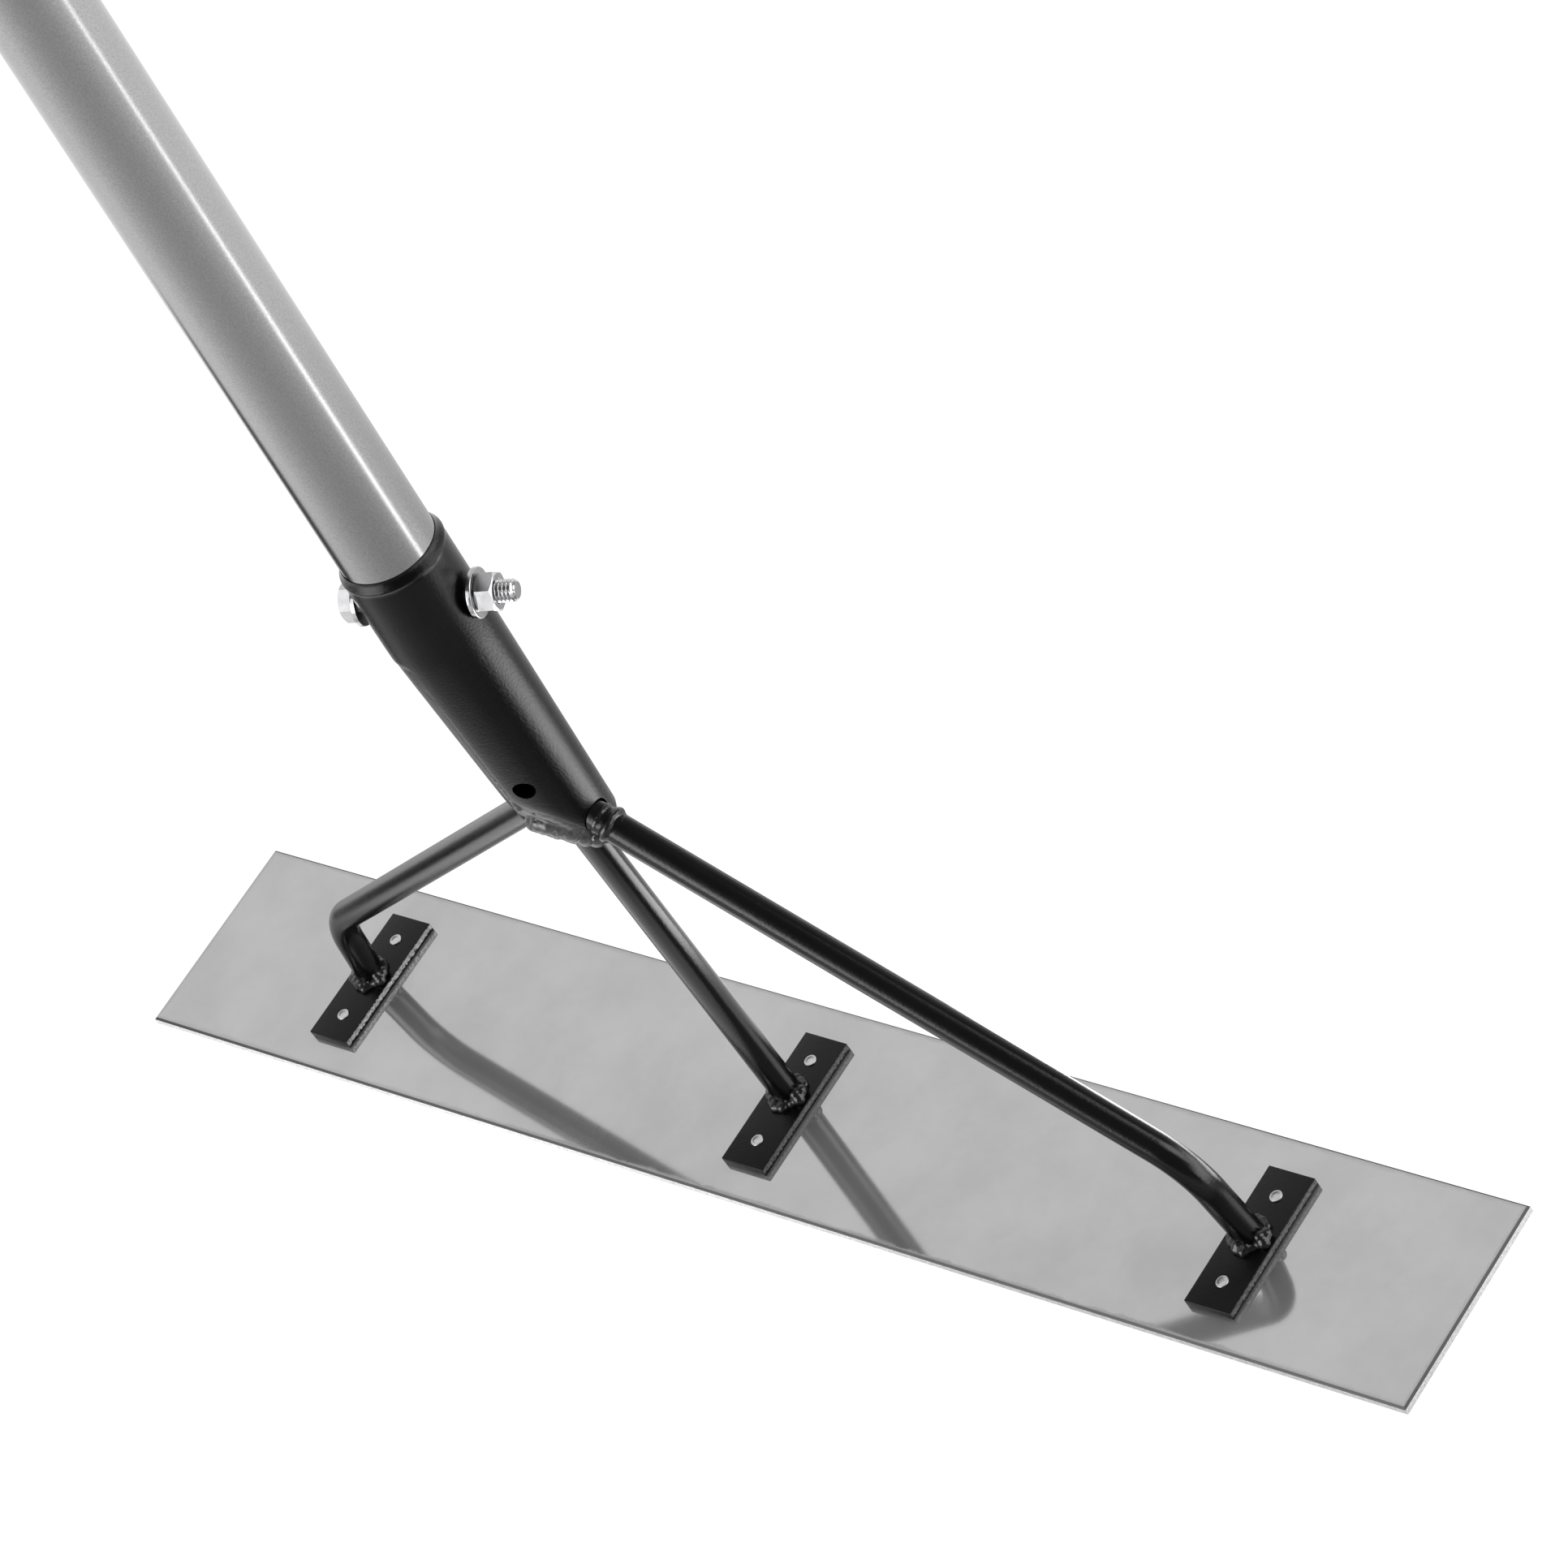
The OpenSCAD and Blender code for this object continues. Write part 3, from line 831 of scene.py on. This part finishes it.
class SCREED_OT_ferrule(bpy.types.Operator):
    """Build the ferrule with its lip, taper, seam, notches and drain hole"""

    bl_idname = "screed.ferrule"
    bl_label = "Ferrule"

    def execute(self, context):
        s = sizes()
        columns, low_rows, high_rows, bore_rows, inner_rows = 288, 72, 22, 8, 24
        wall = s.ferrule_wall
        start = -math.pi / 2
        lip_start = s.mouth - s.lip
        rows = [("low", i / low_rows) for i in range(low_rows)]
        rows += [("high", s.taper_start + (lip_start - s.taper_start) * i / high_rows, 0.0)
                 for i in range(high_rows + 1)]
        # the lip leans in from a low ridge and rolls over at the top
        rows += [("high", lip_start + up, depth) for up, depth in (
            (0.00015, -0.00008), (0.00035, -0.00018), (0.00060, -0.00025), (0.0009, -0.00020),
            (0.0012, -0.00006), (0.0018, 0.00030), (0.0024, 0.00066), (0.0030, 0.00098),
            (0.0035, 0.00118), (0.0039, 0.00129), (0.00415, 0.00135), (0.0043, 0.00138))]
        rows.append(("high", s.mouth - 0.0001, wall - 0.0001))
        rows.append(("high", s.mouth - 0.0004, wall))
        rows += [("high", lip_start + (s.taper_start - lip_start) * i / bore_rows, wall)
                 for i in range(bore_rows + 1)]
        inner_first = len(rows) - 1
        rows += [("inner", 1 - i / inner_rows) for i in range(1, inner_rows + 1)]
        points = []
        opening = s.seam / 2 / s.ferrule_radius
        for kind, *where in rows:
            for k in range(columns + 1):
                if kind == "high":
                    height, depth = where
                    turn = start + FULL_TURN * k / columns
                else:
                    depth = wall if kind == "inner" else 0.0
                    turn = start + opening + (FULL_TURN - 2 * opening) * k / columns
                    bottom = ferrule_bottom(turn)
                    height = bottom + (s.taper_start - bottom) * where[0]
                points.append(ferrule_point(turn, height, depth))
        wide = columns + 1
        faces = []
        for r in range(len(rows)):
            a, b = r * wide, (r + 1) % len(rows) * wide
            faces += [(a + k, a + k + 1, b + k + 1, b + k) for k in range(columns)]
        # the two walls of the seam join the outside to the inside
        for end in (0, columns):
            for i in range(low_rows):
                inner = [(inner_first + inner_rows - round((i + step) / low_rows * inner_rows))
                         * wide + end for step in (1, 0)]
                faces.append((i * wide + end, (i + 1) * wide + end, *inner))
        shell = mesh_piece("ferrule_tube", points, faces, handle_frame(), merge=0.000002)
        place = (handle_frame() @ raised(s.drain_height) @ Matrix.Rotation(s.drain_turn, 4, "Z")
                 @ Matrix.Rotation(math.pi / 2, 4, "Y"))
        pin = [(0, 0.0), (s.drain_radius, 0.0), (s.drain_radius, 0.03), (0, 0.03)]
        drill = mesh_piece("drill", *lathe(pin, 64), place)
        cut = shell.modifiers.new("drain", "BOOLEAN")
        cut.operation, cut.object, cut.solver = "DIFFERENCE", drill, "EXACT"
        bake_modifiers(shell)
        bpy.data.objects.remove(drill)
        dress(shell, "coat", "black_coat", "ferrule", sharp=38)
        return {"FINISHED"}


def weld(name, replaced, blobs, centre, surface="bead", voxel=0.00034, soften=14,
         ripple=0.00020, streak=0.0, fine=1.0, lowest=-1.0):
    """A bead of overlapping drops, melted into one skin. blobs are (place, radius)."""
    ball = bmesh.new()
    bmesh.ops.create_icosphere(ball, subdivisions=3, radius=1.0)
    corners = [v.co.copy() for v in ball.verts]
    faces = [[v.index for v in f.verts] for f in ball.faces]
    ball.free()
    points, skins = [], []
    for place, radius in blobs:
        start = len(points)
        points += [Vector(place) + corner * radius for corner in corners]
        skins += [[i + start for i in face] for face in faces]
    bead = plain_object(name, points, [], skins)
    melt = bead.modifiers.new("melt", "REMESH")
    melt.mode, melt.voxel_size = "VOXEL", voxel
    calm = bead.modifiers.new("calm", "SMOOTH")
    calm.factor, calm.iterations = 0.5, soften
    bake_modifiers(bead)
    molten = [(corner.co.copy(), corner.normal.copy()) for corner in bead.data.vertices]
    for corner, (co, out) in zip(bead.data.vertices, molten):
        # lumps, streaks along the bead and a few pits
        around = math.atan2(co.y - centre[1], co.x - centre[0])
        lump = noise.noise(co * 150) + noise.noise(co * 380) * 0.5 * fine
        lump += noise.noise(Vector((around * 3, co.z * 1400, 0.5))) * streak
        pit = max(0.0, noise.noise(co * 640 + Vector((5, 1, 2))) - 0.42) * -0.0016 * fine
        co += out * (lump * ripple + pit)
        corner.co = (co.x, co.y, max(co.z, lowest))
    dress(bead, surface, "black_coat", replaced, sharp=180)


class SCREED_OT_foot_welds(bpy.types.Operator):
    """Build the beads round the rods' feet"""

    bl_idname = "screed.foot_welds"
    bl_label = "Foot welds"

    def execute(self, context):
        s = sizes()
        for number, side in enumerate(SIDES):
            chance = random.Random(31 + number)
            x = (number - 1) * s.strap_pitch
            y = s.middle_rod_y if side == "middle" else s.side_rod_y
            lean = (number - 1) * -math.tan(s.foot_lean)
            # drops are (bearing, out from the rod, height, radius):
            # a thin fillet all round, broad drops in front and behind
            drops = [(turn, 0.0002, 0.0006, 0.0018) for turn in bearings(24)]
            for count, first, step, drop in (
                    (6, -75, -24, (0.0012, 0.0007, 0.0022)),
                    (5, -64, -30, (0.0002, 0.0022, 0.0017)),
                    (4, 70, 25, (0.0006, 0.0010, 0.0017))):
                drops += [(math.radians(first + step * k), *drop) for k in range(count)]
            blobs = []
            for turn, out, rise, r in drops:
                turn += chance.uniform(-0.10, 0.10)
                out += s.rod_radius + chance.uniform(-0.0004, 0.0004)
                r += chance.uniform(-0.0002, 0.0003)
                blobs.append(((x + out * math.cos(turn) + lean * rise, y + out * math.sin(turn),
                               s.strap_top + rise), r))
            # the last drop stands proud, from the rod to the strap's edge
            for out, off, rise, r in (
                    (0.0002, -0.0012, 0.0036, 0.0021), (0.0012, 0.0010, 0.0026, 0.0024),
                    (0.0018, -0.0018, 0.0016, 0.0024)):
                blobs.append(((x + s.rod_radius + out, y + off, s.strap_top + rise), r))
            weld(side + "_foot_bead", side + "_foot_weld", blobs, (x, y), soften=26,
                 ripple=0.00034, fine=0.25, lowest=s.strap_top + FACE_GAP)
        return {"FINISHED"}


class SCREED_OT_socket_welds(bpy.types.Operator):
    """Build the weld that closes the ferrule and the beads round the side rods"""

    bl_idname = "screed.socket_welds"
    bl_label = "Socket welds"

    def execute(self, context):
        self.fill_socket()
        for side, name in ((-1, "left"), (1, "right")):
            self.ring_arm(side, name)
        return {"FINISHED"}

    def fill_socket(self):
        chance = random.Random(77)
        base = handle_frame()
        blobs = []

        def drop(turn, radius, offset, height, r):
            blobs.append((base @ Vector(spot(turn, radius, height, offset)), r))

        for turn in bearings(108):
            radius, offset, bottom = lower_rim(turn)
            # deep in front on the right, shallow at the back on the left
            deep = 0.35 + 0.65 * clamp(0.5 + 1.6 * math.cos(turn + math.radians(35)))
            curl = CURL * max(0.0, math.cos(turn + CURL_TURN))
            for down, pull, r in (
                    (-0.0008, 0.0025, 0.0019), (0.0010, 0.0024, 0.0020),
                    (0.0028 * deep, 0.0027, 0.0021), (0.0046 * deep, 0.0033, 0.0021),
                    (0.0062 * deep, 0.0045, 0.0021)):
                jump = chance.uniform(-0.00008, 0.00008)
                drop(turn, radius - curl - pull + jump, offset, bottom - down, r)
        for inner in (0.25, 0.5, 0.72):
            for turn in bearings(24):
                radius, offset, bottom = lower_rim(turn, inner)
                drop(turn, radius * inner, offset, bottom - 0.0030, 0.0038)
        # tack weld that fills the lower end of the seam
        for k in range(16):
            height = 0.1905 + 0.0012 * k
            radius, offset = taper_at(height)
            drop(math.radians(-95 - k * 0.15), radius - 0.0019 + chance.uniform(-0.0002, 0.0002),
                 offset, height, 0.0017 - 0.00002 * k)
        weld("socket_bead", "socket_weld", blobs, (0, 0), "socket", voxel=0.00038,
             ripple=0.00018, streak=0.2)

    def ring_arm(self, side, name):
        s = sizes()
        slope = arm_slope()
        chance = random.Random(90 + side)
        over = Vector((side * math.sin(slope), 0, math.cos(slope)))
        blobs = []
        for turn in bearings(36):
            aside = Vector((0, 1, 0)) * math.cos(turn) + over * math.sin(turn)
            cap = max(0.0, math.sin(turn)) ** 3
            swell = 0.0005 * noise.noise(Vector((math.cos(turn), math.sin(turn), side)) * 2.2)
            # a dark groove at the wall, a proud ridge, and a thin cap along the top of the rod
            for out, grow, r in (
                    (0.0152, -0.0004, 0.0014), (0.0166, -0.0007, 0.0013),
                    (0.0187, 0.0001, 0.0018), (0.0200 + 0.0014 * cap, -0.0004, 0.0012),
                    (0.0206 + 0.0032 * cap, -0.0006, 0.0011)):
                x = out + swell + chance.uniform(-0.0001, 0.0001)
                centre = Vector((side * x, s.side_rod_y,
                                 s.blade_top + s.apex - x * math.tan(slope)))
                blobs.append((centre + aside * (s.rod_radius + grow - 0.0006 + swell / 2), r))
        weld(name + "_arm_bead", name + "_arm_weld", blobs, (side * 0.03, 0), ripple=0.00016,
             fine=0.5)


class SCREED_OT_handle(bpy.types.Operator):
    """Build the handle tube"""

    bl_idname = "screed.handle"
    bl_label = "Handle"

    def execute(self, context):
        s = sizes()
        outer, inner = s.handle_radius, s.handle_radius - s.handle_wall
        low, high = s.handle_from, s.handle_from + s.handle_length
        steps, edge = 60, 0.0002
        profile = [(inner, low + edge), (inner + edge, low), (outer - edge, low),
                   (outer, low + edge)]
        profile += [(outer, low + (high - low) * i / steps) for i in range(1, steps)]
        profile += [(outer, high - edge), (outer - edge, high), (inner + edge, high),
                    (inner, high - edge)]
        tube = mesh_piece("handle_pipe", *lathe(profile, 128, closed=True), handle_frame())
        dress(tube, "tube", "tube", "handle_tube")
        return {"FINISHED"}


class SCREED_OT_grip(bpy.types.Operator):
    """Build the grip sleeve on the free end"""

    bl_idname = "screed.grip"
    bl_label = "Grip"

    def execute(self, context):
        s = sizes()
        top_of_tube = s.handle_from + s.handle_length
        low, high = top_of_tube - s.grip_length, top_of_tube + GRIP_END
        out, bore = s.grip_radius, s.handle_radius + SLIP_GAP
        inside = top_of_tube + GRIP_SLACK
        profile = [(0, inside), (bore, inside), (bore, low + 0.0003), (bore + 0.0003, low)]
        profile += arc((out - 0.0012, low + 0.0012), 0.0012, -90, 0, 6)
        # five narrow grooves near the open end, then fifteen round ones for the hand
        for band in range(5):
            at = low + 0.008 + band * 0.004
            profile += [(out, at), (out - 0.0005, at + 0.0005), (out - 0.0005, at + 0.0013),
                        (out, at + 0.0018)]
        for band in range(15):
            at = low + 0.042 + band * 0.007
            profile += [(out, at), *arc((out + 0.0009, at + 0.0015), 0.00175, 238, 122, 4),
                        (out, at + 0.003)]
        profile += arc((out - 0.0035, high - 0.0035), 0.0035, 0, 90, 8)
        profile += [(0.004, high - 0.00005), (0.0035, high - 0.0006), (0.0012, high - 0.0007),
                    (0, high - 0.0007)]
        sleeve = mesh_piece("grip_sleeve", *lathe(profile, 96), handle_frame())
        dress(sleeve, "grip", "grip", "handle_grip", sharp=50)
        return {"FINISHED"}


def hexagon(height, turn, bore=None, both_ends=False):
    """Points and faces of a hexagonal block with turned-off corners, standing on Z = 0."""
    half, columns = sizes().flats / 2, 144
    land, chamfer = half * LAND, BORE_CHAMFER
    # rings are (radius, height, slope), where no radius means the hexagon's own outline
    rings = [(bore + chamfer, 0.0, 0)] if bore else []
    rings += [(land, 0.0, 0), (None, 0.0, 1)] if both_ends else [(None, 0.0, 0)]
    rings += [(None, height, -1), (land, height, 0)]
    if bore:
        rings += [(bore + chamfer, height, 0), (bore, height - chamfer, 0), (bore, chamfer, 0)]
    points = []
    for radius, level, slope in rings:
        for a in bearings(columns):
            r = radius or half / math.cos((a % (math.pi / 3)) - math.pi / 6)
            rise = slope * max(0.0, r - land) * math.tan(CORNER_SLOPE)
            points.append(spot(a + turn, r, level + rise))
    faces = skin_rows(even_rows(len(rings), columns), closed=bool(bore))
    return points, faces if bore else faces + end_caps(points, columns)


class SCREED_OT_hardware(bpy.types.Operator):
    """Build the bolt with its thread, the nut and the washers"""

    bl_idname = "screed.hardware"
    bl_label = "Bolt, nut and washers"

    def execute(self, context):
        s = sizes()
        place = bolt_frame()
        seat = head_seat()
        flip = Matrix.Diagonal((1, 1, -1, 1))
        # threaded shank
        end = s.bolt_length - seat
        first = seat - 0.003
        columns = 60
        heights = [-seat, first]
        step = s.thread_pitch / 14
        while heights[-1] + step < end:
            heights.append(heights[-1] + step)
        heights.append(end)
        points = []
        for z in heights:
            for k, turn in enumerate(bearings(columns)):
                share = (z / s.thread_pitch - k / columns) % 1.0
                groove = clamp((abs(share - 0.5) * 2 - CREST) / THREAD_FLANKS)
                fade = clamp((z - first) / s.thread_pitch)
                r = s.bolt_radius - s.thread_depth * groove * fade
                r = min(r, s.bolt_radius - max(0.0, z - (end - POINT)))
                points.append(spot(turn, r, z))
        faces = skin_rows(even_rows(len(heights), columns)) + end_caps(points, columns)
        # head, joined to the shank as one piece
        head_points, head_faces = hexagon(s.head_height, HEAD_TURN)
        start = len(points)
        lifted = raised(-seat) @ flip
        points += [tuple(lifted @ Vector(p)) for p in head_points]
        faces += [tuple(i + start for i in face) for face in head_faces]
        dress(mesh_piece("cross_bolt", points, faces, place), "zinc", "zinc", "bolt", sharp=28)
        bore = s.bolt_radius + SLIP_GAP
        nut = mesh_piece("hex_nut", *hexagon(s.nut_height, NUT_TURN, bore, both_ends=True),
                         place @ raised(seat))
        dress(nut, "zinc", "zinc", "bolt_nut", sharp=25)
        out, thick, edge = s.washer_radius, s.washer_thickness, 0.00035
        profile = [(bore + 0.0002, 0.0), (out - 0.0001, 0.0), (out, 0.0001)]
        profile += arc((out - edge, thick - edge), edge, 0, 90, 5)
        profile += arc((bore + edge, thick - edge), edge, 90, 180, 5) + [(bore, 0.0002)]
        for name, turn in (("head_washer", flip), ("nut_washer", Matrix.Identity(4))):
            disc = mesh_piece(name + "_disc", *lathe(profile, 96, closed=True),
                              place @ turn @ raised(washer_seat()))
            dress(disc, "zinc", "zinc", name, sharp=30)
        return {"FINISHED"}


# ---- stage


def soft_light(name, place, aim, size, power, tall=None):
    lamp = bpy.data.lights.new(name, "AREA")
    lamp.energy = power
    lamp.size = size
    if tall:
        lamp.shape = "RECTANGLE"
        lamp.size_y = tall
    made = add_object(name, lamp)
    made.location = place
    made.rotation_euler = (Vector(aim) - Vector(place)).to_track_quat("-Z", "Y").to_euler()
    made.visible_camera = False
    return made


def shown_to(tree):
    """The kinds of ray, and the share of those that see or mirror what is here."""
    rays = tree.nodes.new("ShaderNodeLightPath").outputs
    share = maths(tree, "MAXIMUM", rays["Is Camera Ray"], rays["Is Glossy Ray"])
    return rays, maths(tree, "MAXIMUM", share, rays["Is Transmission Ray"])


def mixed_surface(tree, kind, *parts):
    """Ends a tree in a mix of two shaders; parts are the share and both of them."""
    mix = tree.nodes.new("ShaderNodeMixShader")
    for target, part in zip(mix.inputs, parts):
        tree.links.new(part, target)
    node(tree, kind, Surface=mix.outputs[0])


def floor_finish():
    """White to the camera, matt to light, and graded in what the metal mirrors."""
    material = bpy.data.materials.new("pale_floor")
    material.use_nodes = True
    tree = material.node_tree
    tree.nodes.clear()
    rays, share = shown_to(tree)
    place = tree.nodes.new("ShaderNodeTexCoord").outputs["Object"]

    def ranged(value, *limits):
        return remap(tree, value, *limits)

    def distance(x=0.0, y=0.0, squash=1.0):
        spread = vectors(tree, "MULTIPLY", place, (1.0, squash, 1.0))
        return vectors(tree, "DISTANCE", spread, (x, y * squash, 0.0), result="Value")

    # painted glow, seen only in the metal's reflections: the floor's emission is pale in front of
    # the tool, dim to its left, pale again far off
    bearing = vectors(tree, "NORMALIZE", place)
    toward = along(tree, bearing, TO_CAMERA)
    beside = along(tree, bearing, (-0.087, -0.996, 0.0))
    glow = maths(tree, "MULTIPLY", ranged(distance(), 0.28, 0.6, 0.48, 1.10),
                 ranged(toward, 0.1, 1.0, 1.0, 0.5))
    # painted pool of light close round the tool, strongest on one bearing
    ring = maths(tree, "MULTIPLY", ranged(distance(), 0.20, 0.32, 1.0, 0.0),
                 ranged(beside, 0.75, 0.97, 0.0, 1.0))
    ring = maths(tree, "MAXIMUM", ring, ranged(distance(), 0.13, 0.20, 0.8, 0.0))
    glow = maths(tree, "ADD", glow, ring)
    # painted shade: the glow is put out round two spots
    for at, near, far in (((-0.50, -0.11, 1.7), 0.17, 0.22), ((0.22, -0.031, 4.0), 0.12, 0.17)):
        glow = maths(tree, "MULTIPLY", glow, ranged(distance(*at), near, far, 0.0, 1.0))
    # painted pool of light round one spot near the tool
    glow = maths(tree, "ADD", glow, ranged(distance(-0.19, -0.10), 0.06, 0.17, 0.75, 0.0))
    matt = node(tree, "ShaderNodeBsdfDiffuse", Color=shade(colours().floor))
    white = node(tree, "ShaderNodeEmission", Color=WHITE,
                 Strength=blend(tree, rays["Is Camera Ray"], glow, 1.10, "FLOAT"))
    mirrored = ranged(rays["Is Glossy Ray"], 0.0, 1.0, 0.88, 0.97)
    mixed_surface(tree, "ShaderNodeOutputMaterial", maths(tree, "MULTIPLY", share, mirrored),
                  matt.outputs[0], white.outputs[0])
    return material


def studio_world():
    """A pale room, brightest behind the tool, and a white backdrop."""
    world = bpy.data.worlds.new("studio")
    world.use_nodes = True
    tree = world.node_tree
    tree.nodes.clear()
    way = tree.nodes.new("ShaderNodeTexCoord").outputs["Generated"]
    behind = remap(tree, along(tree, way, (-0.837, 0.427, 0.342)), 0.3, 0.93, 0.12, 0.80,
                   "SMOOTHSTEP")
    # a paler band above the horizon, except towards the camera
    band = maths(tree, "MULTIPLY", remap(tree, axis_of(tree, way, "Z"), 0.15, 0.65, 0.5, 0.0),
                 remap(tree, along(tree, way, TO_CAMERA), 0.5, 0.9, 1.0, 0.0))
    glow = maths(tree, "MAXIMUM", behind, band)
    rays, share = shown_to(tree)
    room = node(tree, "ShaderNodeBackground", Color=WHITE, Strength=glow)
    sweep = node(tree, "ShaderNodeBackground", Color=WHITE,
                 Strength=maths(tree, "MAXIMUM", glow, rays["Is Camera Ray"]))
    mixed_surface(tree, "ShaderNodeOutputWorld", share, room.outputs[0], sweep.outputs[0])
    return world


def solved_camera():
    """The camera, solved from the photograph."""
    lens = bpy.data.cameras.new("camera")
    lens.sensor_width = 36.0
    lens.lens = 156.45
    lens.clip_end = 50.0
    right = Vector((0.7293, 0.5251, -0.4387)).normalized()
    back = Vector((0.6583, -0.3638, 0.6590))
    back = (back - right * back.dot(right)).normalized()
    turn = Matrix((right, back.cross(right), back)).transposed().to_4x4()
    camera = add_object("camera", lens)
    camera.matrix_world = Matrix.Translation((1.5812, -0.7992, 1.6797)) @ turn
    return camera


class SCREED_OT_studio(bpy.types.Operator):
    """Set up the floor, the lights and the camera"""

    bl_idname = "screed.studio"
    bl_label = "Studio"

    def execute(self, context):
        scene = context.scene
        half, height = 3.5, -0.0003
        floor = plain_object("floor", [
            (-half, -half, height), (half, -half, height), (half, half, height),
            (-half, half, height)], [], [(0, 1, 2, 3)])
        floor.data.materials.append(floor_finish())
        scene.world = studio_world()
        for name, place, height, size, power, tall, mirrored in (
                ("left", (-0.494, -1.52, 0.68), 0.1, 1.3, 17.0, 1.0, True),
                ("right", (0.317, 1.49, 1.05), 0.1, 1.6, 12.0, None, False),
                ("top", (-0.75, 0.35, 2.2), 0.1, 0.9, 21.0, None, False),
                ("side", (1.135, 0.655, 0.918), 0.05, 0.8, 5.5, None, True),
                ("front", (-0.036, -1.03, 1.23), 0.1, 0.6, 1.6, None, True),
                ("low", (1.28, 0.66, 0.22), 0.05, 2.1, 8.5, 0.46, True)):
            lamp = soft_light(name + "_softbox", place, (0, 0, height), size, power, tall)
            lamp.visible_glossy = mirrored
        # pale boards lying on the floor, which the ferrule and the handle mirror
        for name, place, turn, wide, tall, power in (
                ("near_board", (0.1149, 0.0964, 0.012), 40, 0.109, 0.11, 0.21),
                ("low_board", (0.1996, 0.1587, 0.012), 38.5, 0.201, 0.10, 0.36),
                ("long_board", (0.856, 0.395, 0.010), 28, 0.05, 1.11, 0.68)):
            board = soft_light(name, place, (place[0], place[1], 1.0), wide, power, tall)
            board.rotation_euler = (math.pi, 0.0, math.radians(turn - 90))
        scene.camera = solved_camera()
        scene.view_settings.view_transform = "Standard"
        return {"FINISHED"}


class SCREED_PT_pieces(bpy.types.Panel):
    """Lists the pieces of the screed bar"""

    bl_idname = "SCREED_PT_pieces"
    bl_label = "Screed bar"
    bl_space_type = "VIEW_3D"
    bl_region_type = "UI"
    bl_category = "Screed"

    def draw(self, context):
        for step in STEPS:
            self.layout.operator(step.bl_idname)


STEPS = (
    SCREED_OT_studio, SCREED_OT_blade, SCREED_OT_straps, SCREED_OT_rivets, SCREED_OT_rods,
    SCREED_OT_ferrule, SCREED_OT_foot_welds, SCREED_OT_socket_welds, SCREED_OT_handle,
    SCREED_OT_grip, SCREED_OT_hardware,
)
REGISTERED = (ScreedSizes, ScreedColours, *STEPS, SCREED_PT_pieces)


def register():
    for part in REGISTERED:
        bpy.utils.register_class(part)
    bpy.types.Scene.screed_sizes = bpy.props.PointerProperty(type=ScreedSizes)
    bpy.types.Scene.screed_colours = bpy.props.PointerProperty(type=ScreedColours)


def unregister():
    del bpy.types.Scene.screed_colours
    del bpy.types.Scene.screed_sizes
    for part in reversed(REGISTERED):
        bpy.utils.unregister_class(part)


def main():
    register()
    for step in STEPS:
        family, name = step.bl_idname.split(".")
        getattr(getattr(bpy.ops, family), name)()


if __name__ == "__main__":
    main()
